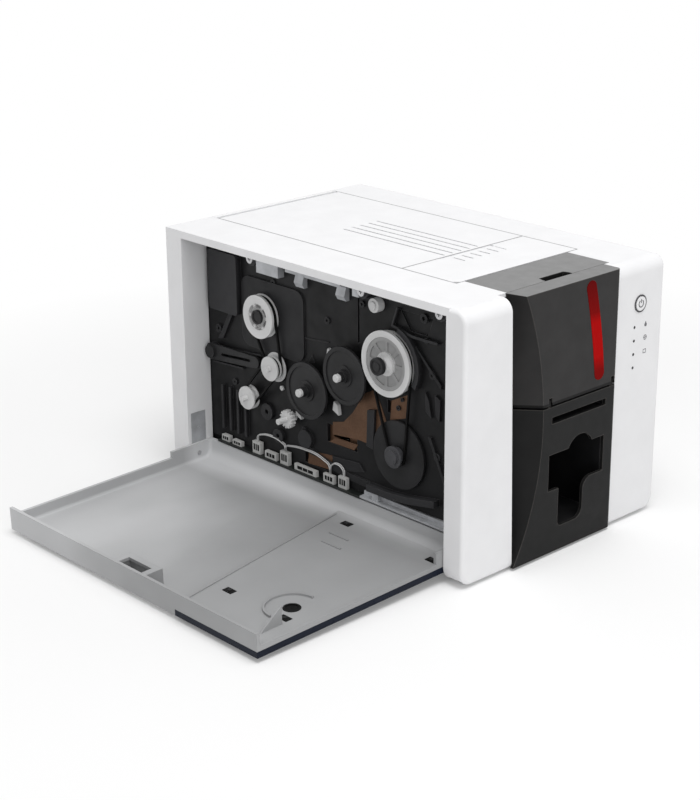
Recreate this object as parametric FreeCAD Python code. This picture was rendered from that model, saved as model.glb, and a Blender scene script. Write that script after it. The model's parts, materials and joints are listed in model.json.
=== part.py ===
import FreeCAD, Part
import math
import os

# Desktop card printer with a side door, a top lid and a black front.
# +Z is up, the front faces -Y and the side door is on the -X side.
# The origin is the middle of the base's underside. Lengths are millimetres.

# Whole body
body_w = 205.0
body_d = 310.0
body_h = 193.0
wall = 2.5
bottom_edge_r = 10.0
front_edge_r = 3.0
top_front_r = 9.0
seam = 0.3
touch = 0.05
running = 0.1
overrun = 2.0
screw_r = 3.4
screw_head_t = 1.8
screw_slot_w = 0.9

# Feet
foot_r = 7.0
foot_h = 2.0
foot_sink = 1.2
foot_inset_x = 34.0
foot_inset_y = 28.0

# White columns and top strips
column_w = 44.0
column_slant = 5.6
column_d = 17.5
rear_column_d = 18.0
column_return_w = 24.0
strip_h = 6.0
lid_left_in = 44.5
lid_right_share = 0.6634
lid_rear_gap = 5.0
lid_corner_r = 9.0
top_front_d = 51.0
cross_seam_share = 0.3355
right_panel_share = 0.4976
right_panel_kink = 4.0
right_wrap = 15.0

# Black front
front_proud = 2.5
front_left_share = -0.2654
front_right_share = 0.4878
ridge_mid_z = 98.0
ridge_upper_r = 232.0
ridge_lower_r = 190.0
facet_in = 47.0
facet_d = 32.5
front_d = 15.5
front_seam_share = 0.5643
front_seam_gap = 1.5
panel_left_in = 52.5
panel_right_share = 0.5463
recess_r = 14.0
recess_share = 0.0293
recess_depth = 7.5
recess_h = 9.0

# Red level window on the upper cover
window_w = 10.0
window_low_gap = 6.6
window_top_gap = 2.3
window_low_share = 0.2956
window_mid_share = 0.2498
window_high_share = 0.1805
window_t = 2.9
window_proud = 0.3

# Hinge of the upper front cover
feeder_pin_r = 1.0
feeder_pin_back = 3.0
feeder_pin_up = 3.2
feeder_ear_r = 1.9
feeder_ear_w = 3.0

# Card slot and output opening in the lower cover
slot_left_share = -0.1756
slot_right_share = 0.3805
slot_down = 12.5
slot_h = 4.8
output_left_share = -0.1951
output_right_share = 0.3756
output_h = 26.8
output_down = 22.6
notch_share = 0.1268
notch_half_w = 12.5
notch_up = 7.7
tongue_left_share = -0.0878
tongue_right_share = 0.1678
tongue_low_share = 0.383
tongue_r = 8.0
shoulder_r = 9.0
output_depth = 90.0
output_wall = 2.0
box_gap = 0.3

# Controls on the right panel
button_in = 26.4
button_down = 31.1
button_r = 5.2
button_gap = 0.3
button_ring_w = 0.9
button_ring_t = 0.6
button_proud = 0.9
button_len = 6.0
button_flange_r = 6.8
button_flange_t = 1.5
button_travel = 1.0
lamp_in = 31.6
lamp_down = 47.8
lamp_pitch = 10.0
lamp_count = 4
lamp_r = 1.1
control_board_t = 1.6
control_board_w = 34.0
control_board_h = 70.0

# Top lid
lid_t = 2.5
lid_rim_h = 7.0
lid_rim_t = 2.0
lid_pin_back = 8.5
knuckle_r = 3.5
lid_pin_r = 1.5
lid_pin_boss = 5.0
groove_share = -0.1171
groove_pitch = 8.6
groove_count = 5
groove_w = 1.3
groove_deep = 1.2
groove_l = 104.5
groove_inset = 3.5
stub_l = 16.5
stub_count = 6
grip_left_share = -0.2049
grip_right_share = 0.3122
grip_d = 4.0
ledge_t = 2.0
ledge_d = 6.0

# Side door
pivot_in = 8.0
pivot_z = 14.0
door_open_deg = 91.5
door_end_gap = 0.2
door_top_gap = 7.0
door_rim_d = 11.5
door_ear_d = 16.5
door_ear_top_z = 40.5
door_top_wall_d = 17.0
door_front_wall_d = 8.0
door_front_ear_top_z = 28.0
door_floor_r = 8.0
trim_t = 4.5
trim_floor_t = 2.5
trim_top_l = 82.3
trim_low_l = 111.3
trim_low_z = 14.0
hinge_pin_r = 2.0
latch_l = 36.0
latch_h = 19.0
latch_window_l = 25.0
latch_window_h = 9.0
clip_hole_l = 9.0
clip_hole_h = 6.0
door_hole_r = 6.2
door_hole_back = 25.3
door_hole_down = 51.0
rib_w = 1.4
rib_h = 1.6
arc_rib_r = 19.0
fin_h = 13.0
fin_l = 18.0
fin_t = 1.6

# Floor, side plates and circuit board
floor_t = 3.0
floor_left_in = 25.0
plate_front_in = 24.5
plate_t = 3.0
plate_top_gap = 6.5
plate_front_gap = 1.5
plate_rear_gap = 6.0
plate_low_z = 26.0
right_plate_in = 28.5
board_left_in = 18.5
board_right_in = 62.5
board_low_z = 24.0
board_t = 1.6
board_front_y = -36.0
connector_size = 8.0
lead_r = 0.4
lead_rise = 7.0
lead_reach_share = 0.45
lead_side_share = 0.3
lead_rise_share = 0.62
board_rear_gap = 13.0
sill_low_z = 25.0
sill_t = 3.0

# Wheels of the drive: places of their axes and their radii
wheel_gap = 0.8
wheel_face_in = 16.0
shaft_r = 3.0
shaft_tip_in = 8.0
sleeve_in = 11.0
rim_t = 2.0
web_t = 1.5
rim_w = 3.0
flange_t = 1.2
window_gap_share = 0.3
supply_y = 69.5
supply_up = 40.9
supply_r = 16.5
supply_groove_r = 13.5
supply_dish_r = 10.0
supply_hub_r = 5.4
double_y = 56.6
double_up = 3.9
double_r = 9.3
double_groove_r = 6.5
lower_y = 83.9
lower_up = -25.8
lower_r = 9.0
lower_groove_r = 6.0
motor_y = 39.7
motor_up = -31.5
motor_gear_r = 7.0
bracket_top = 4.0
bracket_h = 12.0
bracket_l = 21.0
motor_gear_teeth = 14
motor_r = 17.0
motor_l = 32.0
disc_r = 21.4
disc_pulley_r = 8.0
disc1_y = 17.2
roller_down = 3.4
disc2_y = -23.0
disc2_up = 21.3
feed_y = -64.5
feed_up = 18.9
feed_r = 23.6
feed_groove_r = 20.0
feed_hub_r = 6.3
feed_hub_len = 5.5
feed_boss_r = 8.5
feed_dish_r = 19.0
clutch_y = -72.2
clutch_z = 66.9
clutch_r = 8.0
clutch_groove_r = 6.2
clutch_disc_r = 25.0
belt_t = 1.4
connector_shares = [(0.02, 1.1, 0.9, 0.6), (0.1, 1.3, 0.8, 0.5), (0.25, 1.1, 0.9, 1.2), (0.34, 1.6, 0.8,
        0.7), (0.45, 1.1, 0.9, 1.3), (0.55, 3.0, 0.7, 0.6), (0.75, 1.4, 0.7, 0.8), (0.85, 1.1, 0.7, 1.1)]
cam_shares = [(-1.1, 1.15, 0.35, 0.5), (-1.35, -0.6, 0.3, 0.45), (0.55, -1.25, 0.3, 0.35)]
rib_shares = [0.22, 0.29]
guard_top_shares = [(1.36, 0.755), (0.6, 0.66), (-0.12, 0.605), (-0.9, 0.565), (-1.72, 0.555), (-2.6, 0.56),
                    (-3.3, 0.585), (-4.4, 0.66)]
guard_drop_share = 0.2
plate_window_shares = [(-1.3, 0.18, 0.6, 0.75), (0.12, 1.33, 0.35, 0.44), (-3.45, -2.75, 1.02, 1.12)]
belt_w = 1.8
belt_gap = 0.3
tip_r = 2.2
spindle_r = 7.0
spindle_rib_h = 2.5
spindle_rib_w = 2.0
spindle_ribs = 6
spindle_half_l = 32.0
roller_r = 3.6
roller_shaft_r = 2.0
arm_r = 6.5
arm_back = 19.3
arm_up = -0.3
arm_t = 2.0

# Print head under the lid
head_d = 16.0
head_h = 12.0
head_gap = 0.6
head_arm_w = 4.0

# Feeder bay and ribbon bay
bay_front_gap = 1.5
bay_rear_gap = 2.0
bay_top_gap = 5.0
bay_wall = 2.0

# Rear of the housing
rear_t = 2.5
socket_t = 2.0
socket_depth = 12.0
power_w = 14.0
power_h = 12.0
power_in = 14.0
socket_low_z = 22.0
usb_w = 13.0
usb_h = 12.0
usb_in = 34.0
net_w = 17.0
net_h = 14.0
net_in = 60.0
rear_slot_w = 58.0
rear_slot_h = 5.0


def block(x0, x1, y0, y1, z0, z1):
    corner = FreeCAD.Vector(min(x0, x1), min(y0, y1), min(z0, z1))
    return Part.makeBox(abs(x1 - x0), abs(y1 - y0), abs(z1 - z0), corner)


def rod(axis, a, b, radius, start, end):
    """A cylinder along one axis; a and b place it on the other two."""
    low, length = min(start, end), abs(end - start)
    base = {"x": (low, a, b), "y": (a, low, b), "z": (a, b, low)}[axis]
    way = {"x": (1, 0, 0), "y": (0, 1, 0), "z": (0, 0, 1)}[axis]
    return Part.makeCylinder(radius, length, FreeCAD.Vector(*base), FreeCAD.Vector(*way))


def prism(axis, points, start, end):
    """A closed outline given on the other two axes, pushed along one axis."""
    place = {"x": lambda a, b: (start, a, b), "y": lambda a, b: (a, start, b), "z": lambda a, b: (a, b,
            start)}
    way = {"x": (1, 0, 0), "y": (0, 1, 0), "z": (0, 0, 1)}[axis]
    corners = [FreeCAD.Vector(*place[axis](a, b)) for a, b in points]
    face = Part.Face(Part.makePolygon(corners + corners[:1]))
    return face.extrude(FreeCAD.Vector(*way) * (end - start))


def join(solids):
    first = solids[0]
    return first.fuse(solids[1:]).removeSplitter() if len(solids) > 1 else first


def group(solids):
    return Part.makeCompound(solids)


def round_edges(shape, radius, chosen):
    edges = [edge for edge in shape.Edges if chosen(edge)]
    return shape.makeFillet(radius, edges)


def runs_along(edge, axis):
    size = edge.BoundBox
    spans = {"x": size.XLength, "y": size.YLength, "z": size.ZLength}
    return spans[axis] > seam and all(span < seam for name, span in spans.items() if name != axis)


def near(value, goal):
    return abs(value - goal) < seam


half_w = body_w / 2
half_d = body_d / 2
lid_left_x = -half_w + lid_left_in
panel_left_x = -half_w + panel_left_in
facet_x = -half_w + facet_in
pivot_x = -half_w + pivot_in
floor_left_x = -half_w + floor_left_in
plate_front_x = -half_w + plate_front_in
board_left_x = -half_w + board_left_in
board_right_x = -half_w + board_right_in
wheel_face_x = -half_w + wheel_face_in
shaft_tip_x = -half_w + shaft_tip_in
sleeve_x = -half_w + sleeve_in
button_x = half_w - button_in
lamp_x = half_w - lamp_in
right_plate_x = half_w - right_plate_in
lid_right_x = half_w * lid_right_share
right_panel_x = half_w * right_panel_share
front_left_x = half_w * front_left_share
front_right_x = half_w * front_right_share
panel_right_x = half_w * panel_right_share
recess_x = half_w * recess_share
window_low_x = half_w * window_low_share
window_mid_x = half_w * window_mid_share
window_high_x = half_w * window_high_share
slot_left_x = half_w * slot_left_share
slot_right_x = half_w * slot_right_share
output_left_x = half_w * output_left_share
output_right_x = half_w * output_right_share
notch_x = half_w * notch_share
tongue_left_x = half_w * tongue_left_share
tongue_right_x = half_w * tongue_right_share
groove_x = half_w * groove_share
grip_left_x = half_w * grip_left_share
grip_right_x = half_w * grip_right_share
power_x = right_plate_x - power_in
usb_x = right_plate_x - usb_in
net_x = right_plate_x - net_in
spindle_mid_x = (slot_left_x + slot_right_x) / 2
front_seam_z = body_h * front_seam_share
slot_z = front_seam_z - slot_down
output_high_z = slot_z - output_down
output_low_z = output_high_z - output_h
notch_top_z = output_high_z + notch_up
tongue_low_z = output_low_z * tongue_low_share
door_out_x = -half_w
opening_front_y = -half_d + column_d
opening_rear_y = half_d - rear_column_d
opening_top_z = body_h - strip_h + seam
front_y = -half_d - front_proud
facet_y = front_y + facet_d
front_back_y = front_y + front_d
top_front_y = -half_d + top_front_d
cross_seam_y = -half_d * cross_seam_share
lid_rear_y = half_d - lid_rear_gap
lid_pin_y = half_d - lid_pin_back
groove_front_y = cross_seam_y + groove_inset
groove_rear_y = groove_front_y + groove_l
stub_front_y = cross_seam_y - stub_l
window_low_z = front_seam_z + front_seam_gap + window_low_gap
window_high_z = body_h - window_top_gap
button_z = body_h - button_down
lamp_top_z = body_h - lamp_down
control_board_y = -half_d - button_proud + button_len + button_travel * 2
door_half_l = opening_rear_y - door_end_gap
door_top_z = body_h - door_top_gap
trim_top_y = -door_half_l + trim_top_l
trim_low_y = -door_half_l + trim_low_l
door_hole_y = -door_half_l + door_hole_back
door_hole_z = door_top_z - door_hole_down
plate_top_z = body_h - plate_top_gap
plate_front_y = opening_front_y + plate_front_gap
plate_rear_y = half_d - plate_rear_gap
board_rear_y = opening_rear_y - board_rear_gap
bay_front_y = front_back_y + bay_front_gap
bay_rear_y = cross_seam_y - bay_rear_gap
bay_top_z = body_h - bay_top_gap
bay_floor_z = front_seam_z + bay_wall
mid_z = body_h / 2
supply_z = mid_z + supply_up
double_z = mid_z + double_up
lower_z = mid_z + lower_up
motor_z = mid_z + motor_up
disc1_z = slot_z - roller_down
disc2_z = disc1_z + disc2_up
feed_z = disc2_z + feed_up
arm_z = mid_z + arm_up
arm_y = plate_rear_y - arm_back


def column_edge_x(z):
    """Inner edge of the left white column, which slants as it rises."""
    return -half_w + column_w + column_slant * (1 - z / body_h)


def ridge_x(z):
    """The ridge of the black front: two arcs that meet at its widest height."""
    rise = z - ridge_mid_z
    radius = ridge_upper_r if rise > 0 else ridge_lower_r
    return front_left_x - radius + math.sqrt(radius ** 2 - rise ** 2)


def left_cover():
    low, high = column_edge_x(0), column_edge_x(body_h)
    outline = [(-half_w, 0), (low, 0), (high, body_h), (-half_w, body_h)]
    column = prism("y", outline, -half_d, opening_front_y)
    column = round_edges(column, bottom_edge_r, lambda e: runs_along(e, "y") and near(e.BoundBox.XMin,
            -half_w) and near(e.BoundBox.ZMax, 0))
    column = round_edges(column, top_front_r, lambda e: runs_along(e, "x") and near(e.BoundBox.YMin, -half_d)
                         and near(e.BoundBox.ZMin, body_h))
    column = round_edges(column, front_edge_r, lambda e: runs_along(e, "z") and near(e.BoundBox.YMin,
            -half_d))
    inner = [(-half_w + wall, wall), (low - wall, wall), (high - wall, body_h - wall), (-half_w + wall,
            body_h - wall)]
    hollow = prism("y", inner, -half_d + wall, opening_front_y - wall)
    hollow = round_edges(hollow, top_front_r - wall, lambda e: runs_along(e, "x") and near(e.BoundBox.YMin,
            -half_d + wall) and near(e.BoundBox.ZMin, body_h - wall))
    column = column.cut(hollow)
    return_x = -half_w + column_return_w
    column = column.cut(block(return_x, high - wall, opening_front_y - wall - overrun, opening_front_y
                              + overrun, floor_t + wall, body_h - wall))
    strip = block(-half_w, lid_left_x, opening_front_y - wall, half_d, body_h - wall, body_h)
    skirt = block(-half_w, -half_w + wall, opening_front_y - wall, half_d, opening_top_z, body_h)
    ahead = block(high - wall, panel_left_x, -half_d, top_front_y, body_h - wall, body_h)
    ahead = ahead.cut(block(high - wall, panel_left_x + overrun, -half_d - overrun, front_back_y, 0,
                            body_h + overrun))
    side = block(-half_w, -half_w + wall, opening_rear_y, half_d, 0, body_h)
    back = block(-half_w, return_x, half_d - wall, half_d, 0, body_h)
    inside = block(-half_w, return_x, opening_rear_y, opening_rear_y + wall, 0, body_h)
    bottom = block(-half_w, return_x, opening_rear_y, half_d, 0, wall)
    boss = block(lid_left_x - lid_pin_boss, lid_left_x - seam, lid_pin_y - knuckle_r, lid_pin_y + knuckle_r,
                 body_h - knuckle_r - lid_pin_boss, body_h - wall)
    cover = join([column, strip, skirt, ahead, side, back, inside, bottom, boss])
    rear_low = block(-half_w - overrun, -half_w + bottom_edge_r, opening_rear_y - overrun, half_d + overrun,
                     -overrun, bottom_edge_r)
    rear_low = rear_low.cut(rod("y", -half_w + bottom_edge_r, bottom_edge_r, bottom_edge_r, opening_rear_y
                                - overrun, half_d + overrun))
    cover = cover.cut(rear_low)
    cover = cover.cut(rod("x", lid_pin_y, body_h - knuckle_r, lid_pin_r + touch, lid_left_x - lid_pin_boss,
                          lid_left_x))
    for y0, y1 in ((opening_front_y - wall, opening_front_y), (opening_rear_y, opening_rear_y + wall)):
        cover = cover.cut(rod("y", pivot_x, pivot_z, hinge_pin_r + touch, y0, y1))
    return cover.cut(hinge_plate_block(touch))


def hinge_plate_block(grow):
    left = door_out_x + wall + seam * 2
    return block(left - grow, left + door_ear_d - wall + grow, opening_rear_y, opening_rear_y + wall / 2
                 + grow, pivot_z + hinge_pin_r * 4 - grow, pivot_z + door_ear_d * 2 + grow)


def right_cover():
    top_x = right_panel_x - right_panel_kink / 4
    outline = [(right_panel_x - right_panel_kink, 0), (half_w, 0), (half_w, body_h), (top_x, body_h),
               (right_panel_x, body_h / 2)]
    front = prism("y", outline, -half_d, -half_d + column_d)
    shell = join([front, block(panel_right_x, half_w, -half_d, half_d, 0, body_h)])
    shell = round_edges(shell, bottom_edge_r, lambda e: runs_along(e, "y") and near(e.BoundBox.XMin, half_w)
                        and near(e.BoundBox.ZMax, 0))
    shell = round_edges(shell, top_front_r, lambda e: runs_along(e, "x") and near(e.BoundBox.YMin, -half_d)
                        and near(e.BoundBox.ZMin, body_h))
    shell = round_edges(shell, front_edge_r, lambda e: runs_along(e, "z") and near(e.BoundBox.XMin, half_w)
                        and near(e.BoundBox.YMin, -half_d))
    inside = block(0, half_w - wall, -half_d + wall, half_d + overrun, wall, body_h - wall)
    inside = round_edges(inside, bottom_edge_r - wall, lambda e: runs_along(e, "y") and near(e.BoundBox.XMin,
            half_w - wall) and near(e.BoundBox.ZMax, wall))
    inside = round_edges(inside, top_front_r - wall, lambda e: runs_along(e, "x") and near(e.BoundBox.YMin,
            -half_d + wall) and near(e.BoundBox.ZMin, body_h - wall))
    shell = shell.cut(inside)
    shell = shell.cut(block(panel_right_x - overrun, lid_right_x, top_front_y, half_d + overrun,
                            wall + overrun, body_h + overrun))
    shell = shell.cut(block(0, half_w - right_wrap, -half_d + column_d, half_d + overrun, -overrun,
                            wall + overrun))
    shell = shell.cut(block(right_panel_x - overrun, panel_right_x, front_back_y, top_front_y, body_h - wall
                            - overrun, body_h + overrun))
    boss = block(lid_right_x + seam, lid_right_x + lid_pin_boss, lid_pin_y - knuckle_r, lid_pin_y
                 + knuckle_r, body_h - knuckle_r - lid_pin_boss, body_h - wall)
    shell = join([shell, boss])
    shell = shell.cut(rod("x", lid_pin_y, body_h - knuckle_r, lid_pin_r + touch, lid_right_x, lid_right_x
                          + lid_pin_boss))
    shell = shell.cut(rod("y", button_x, button_z, button_r + button_gap, -half_d - overrun, -half_d + wall))
    for x, z in lamp_places():
        shell = shell.cut(rod("y", x, z, lamp_r, -half_d - overrun, -half_d + wall))
    return shell


def lamp_places():
    return [(lamp_x, lamp_top_z - lamp_pitch * i) for i in range(lamp_count)]


def rear_panel():
    left = -half_w + column_return_w + seam
    panel = block(left, half_w - wall - seam, half_d - rear_t, half_d, floor_t + seam, body_h)
    top = block(lid_left_x + seam, lid_right_x - seam, lid_rear_y + seam * 2, half_d, body_h - wall, body_h)
    panel = join([panel, top])
    panel = panel.cut(block(left - overrun, lid_left_x + seam, half_d - rear_t, half_d, body_h - wall - seam,
                            body_h + overrun))
    panel = panel.cut(block(lid_right_x - seam, half_w, half_d - rear_t, half_d, body_h - wall - seam,
                            body_h + overrun))
    panel = panel.cut(block(half_w - right_wrap, half_w, half_d - rear_t - overrun, half_d + overrun, 0,
                            bottom_edge_r + seam))
    for x, w, h in socket_places():
        panel = panel.cut(block(x - w / 2 - touch, x + w / 2 + touch, half_d - rear_t - overrun,
                                half_d + overrun, socket_low_z - touch, socket_low_z + h + touch))
    mid = (slot_left_x + slot_right_x) / 2
    return panel.cut(block(mid - rear_slot_w / 2, mid + rear_slot_w / 2, half_d - rear_t - overrun,
                           half_d + overrun, slot_z, slot_z + rear_slot_h))


def socket_places():
    return [(power_x, power_w, power_h), (usb_x, usb_w, usb_h), (net_x, net_w, net_h)]


def sockets():
    made = []
    for x, w, h in socket_places():
        body = block(x - w / 2, x + w / 2, half_d - socket_depth, half_d - seam, socket_low_z, socket_low_z
                     + h)
        hole = block(x - w / 2 + socket_t, x + w / 2 - socket_t, half_d - socket_depth + socket_t,
                     half_d + overrun, socket_low_z + socket_t, socket_low_z + h - socket_t)
        leg = block(x - w / 2, x + w / 2, half_d - socket_depth, half_d - rear_t - seam, floor_t,
                    socket_low_z)
        made.append(join([body.cut(hole), leg]))
    return group(made)


def foot_places():
    x, y = half_w - foot_inset_x, half_d - foot_inset_y
    return [(-x, -y), (x, -y), (-x, y), (x, y)]


def base_tray():
    """Floor with shallow round recesses below for the feet."""
    right = half_w - right_wrap - seam
    tray = block(floor_left_x, right, -half_d + column_d + seam, half_d - rear_t - seam, 0, floor_t)
    tray = join([tray, block(column_edge_x(0) + seam, right_panel_x - right_panel_kink - seam, front_back_y,
                             -half_d + column_d + seam, 0, floor_t)])
    side = block(floor_left_x, floor_left_x + wall, -half_d + column_d * 2, half_d - rear_column_d
                 - wall * 4, 0, board_low_z)
    tray = join([tray, side])
    for x, y in foot_places():
        tray = tray.cut(rod("z", x, y, foot_r + touch, -overrun, foot_sink))
    return tray


def feet():
    return group([rod("z", x, y, foot_r, -foot_h, foot_sink) for x, y in foot_places()])


def black_block(z0, z1, y_back, inset):
    """A slice of the black front: flat face, ridge arc and the facet ruled back to the column."""
    heights = (z0, (z0 + z1) / 2, z1)
    y = front_y + inset
    ridge = [FreeCAD.Vector(ridge_x(z) + inset, y, z) for z in heights]
    back = [FreeCAD.Vector(facet_x + inset, facet_y + inset, z) for z in (z0, z1)]
    right = front_right_x - inset
    arc = Part.Arc(*ridge).toShape()
    line = Part.LineSegment(back[0], back[1]).toShape()
    faces = [Part.makeRuledSurface(arc, line)]
    corners = [FreeCAD.Vector(right, y, z0), FreeCAD.Vector(right, y, z1)]
    rear = [FreeCAD.Vector(right, back[0].y, z0), FreeCAD.Vector(right, back[0].y, z1)]

    def flat(*points):
        return Part.Face(Part.makePolygon(list(points) + [points[0]]))

    edges = [arc, Part.LineSegment(ridge[2], corners[1]).toShape(), Part.LineSegment(corners[1],
            corners[0]).toShape(), Part.LineSegment(corners[0], ridge[0]).toShape()]
    faces.append(Part.Face(Part.Wire(Part.__sortEdges__(edges))))
    faces.append(flat(corners[0], corners[1], rear[1], rear[0]))
    faces.append(flat(rear[0], rear[1], back[1], back[0]))
    faces.append(flat(ridge[0], corners[0], rear[0], back[0]))
    faces.append(flat(ridge[2], corners[1], rear[1], back[1]))
    solid = Part.makeSolid(Part.makeShell(faces))
    if solid.Volume < 0:
        solid.reverse()
    solid = solid.cut(block(-half_w, front_right_x + overrun, y_back, facet_y + overrun, z0 - overrun,
                            z1 + overrun))
    edge = [(column_edge_x(0) + seam + inset, z0 - overrun), (column_edge_x(body_h) + seam + inset,
            z1 + overrun), (-half_w, z1 + overrun), (-half_w, z0 - overrun)]
    edge[0] = (column_edge_x(z0 - overrun) + seam + inset, z0 - overrun)
    edge[1] = (column_edge_x(z1 + overrun) + seam + inset, z1 + overrun)
    return solid.cut(prism("y", edge, -half_d, facet_y + overrun))


def front_frame():
    """Fixed rear part of the upper facet, between the moving cover and the column."""
    top = body_h - wall
    frame = black_block(feeder_low_z, top, facet_y, 0)
    frame = frame.cut(block(-half_w, half_w, front_y - overrun, front_back_y + seam, 0, body_h))
    frame = frame.cut(block(panel_left_x + wall * 2, half_w, front_y, facet_y + overrun, 0, body_h))
    frame = frame.cut(black_block(feeder_low_z - wall, top + wall, facet_y, wall))
    foot = block(panel_left_x - wall * 2, panel_left_x + wall * 2, facet_y - wall * 2, facet_y, front_seam_z,
                 feeder_low_z)
    solids = sorted(join([frame, foot]).Solids, key=lambda solid: solid.Volume)
    return solids[-1]


def window_outline(grow):
    """Bowed slot of the level window: two circles' arcs and round ends, seen from the front."""
    half = window_w / 2 + grow
    mid_z = (window_low_z + window_high_z) / 2
    points = [FreeCAD.Vector(window_low_x, 0, window_low_z + window_w / 2), FreeCAD.Vector(window_mid_x, 0,
            mid_z), FreeCAD.Vector(window_high_x, 0, window_high_z - window_w / 2)]
    centre = Part.Arc(*points).toShape().Curve.Center

    def moved(point, by):
        ray = (point - centre).normalize()
        return point + ray * by

    outer = [moved(p, half) for p in points]
    inner = [moved(p, -half) for p in points]
    down = (points[0] - points[1]).normalize() * half
    up = (points[2] - points[1]).normalize() * half
    edges = [Part.Arc(*outer).toShape(), Part.Arc(outer[2], points[2] + up, inner[2]).toShape(),
             Part.Arc(*inner).toShape(), Part.Arc(outer[0], points[0] + down, inner[0]).toShape()]
    return Part.Face(Part.Wire(Part.__sortEdges__(edges)))


def window_solid(grow, y0, y1):
    face = window_outline(grow)
    face.translate(FreeCAD.Vector(0, y0, 0))
    return face.extrude(FreeCAD.Vector(0, y1 - y0, 0))


feeder_low_z = front_seam_z + front_seam_gap
feeder_pin_y = front_y + feeder_pin_back
feeder_pin_z = feeder_low_z + feeder_pin_up
feeder_ear_xs = (ridge_x(feeder_pin_z) + feeder_ear_w * 2, front_right_x - front_edge_r - feeder_ear_w)


def feeder_door():
    door = black_block(feeder_low_z, body_h, front_back_y, 0)
    door = round_edges(door, front_edge_r, lambda e: runs_along(e, "z") and near(e.BoundBox.XMin,
            front_right_x) and near(e.BoundBox.YMin, front_y))
    hollow = black_block(feeder_low_z + wall, body_h - wall, front_back_y + overrun, wall)
    door = door.cut(hollow.common(block(-half_w, half_w, front_y, front_back_y + overrun, 0, body_h)))
    door = door.cut(window_solid(touch, front_y - overrun, front_y + wall + overrun))
    for x in feeder_ear_xs:
        door = door.cut(block(x - seam, x + feeder_ear_w + seam, front_y - overrun, front_back_y + overrun,
                              feeder_low_z - overrun, feeder_pin_z + feeder_ear_r + seam))
    ends = (feeder_ear_xs[0] - feeder_ear_w - seam, feeder_ear_xs[1] + feeder_ear_w + seam)
    knuckles = [block(x, x + feeder_ear_w, front_y + wall / 2, feeder_pin_y + feeder_ear_r, feeder_low_z
                      + wall / 2, feeder_pin_z + feeder_ear_r) for x in (feeder_ear_xs[0] + feeder_ear_w
            + seam, feeder_ear_xs[1] - feeder_ear_w - seam)]
    door = join([door] + knuckles)
    return door.cut(rod("x", feeder_pin_y, feeder_pin_z, feeder_pin_r, ends[0], ends[1]))


def feeder_door_pins():
    made = []
    for x, step in zip(feeder_ear_xs, (1, -1)):
        far = x + feeder_ear_w * 2 + seam if step > 0 else x - feeder_ear_w - seam
        near_end = x if step > 0 else x + feeder_ear_w
        made.append(rod("x", feeder_pin_y, feeder_pin_z, feeder_pin_r, near_end, far))
    return group(made)


def level_window():
    return window_solid(0, front_y - window_proud, front_y - window_proud + window_t)


def output_outline():
    """Output opening seen from the front: a rectangle, a round notch above and a tongue below."""
    def at(x, z):
        return FreeCAD.Vector(x, 0, z)

    def line(a, b):
        return Part.LineSegment(a, b).toShape()

    def curve(a, b, c):
        return Part.Arc(a, b, c).toShape()

    left, right, low, high = output_left_x, output_right_x, output_low_z, output_high_z
    notch_l, notch_r_x = notch_x - notch_half_w, notch_x + notch_half_w
    floor_mid = (tongue_left_x + tongue_right_x) / 2
    shoulder_x = tongue_right_x + shoulder_r
    bend = 1 - math.sqrt(0.5)
    marks = [at(left, high), at(notch_l, high), at(notch_r_x, high), at(right, high), at(right, low),
             at(shoulder_x, low), at(tongue_right_x, low - shoulder_r), at(tongue_right_x, tongue_low_z
            + tongue_r), at(tongue_right_x - tongue_r, tongue_low_z), at(floor_mid, tongue_low_z),
            at(tongue_left_x + tongue_r / 2, tongue_low_z), at(tongue_left_x, tongue_low_z + tongue_r / 2),
            at(tongue_left_x, low), at(left, low)]
    edges = [line(marks[0], marks[1]), curve(marks[1], at(notch_x, notch_top_z), marks[2]), line(marks[2],
            marks[3]), line(marks[3], marks[4]), line(marks[4], marks[5]), curve(marks[5], at(tongue_right_x
            + shoulder_r * bend, low - shoulder_r * bend), marks[6]), line(marks[6], marks[7]),
            curve(marks[7], at(tongue_right_x - tongue_r * bend, tongue_low_z + tongue_r * bend), marks[8]),
            line(marks[8], marks[10]), curve(marks[10], at(tongue_left_x + tongue_r / 2 * bend, tongue_low_z
                                                           + tongue_r / 2 * bend), marks[11]),
            line(marks[11], marks[12]), line(marks[12], marks[13]), line(marks[13], marks[0])]
    return Part.Face(Part.Wire(Part.__sortEdges__(edges)))


def output_prism(y0, y1):
    face = output_outline()
    face.translate(FreeCAD.Vector(0, y0, 0))
    return face.extrude(FreeCAD.Vector(0, y1 - y0, 0))


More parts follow.
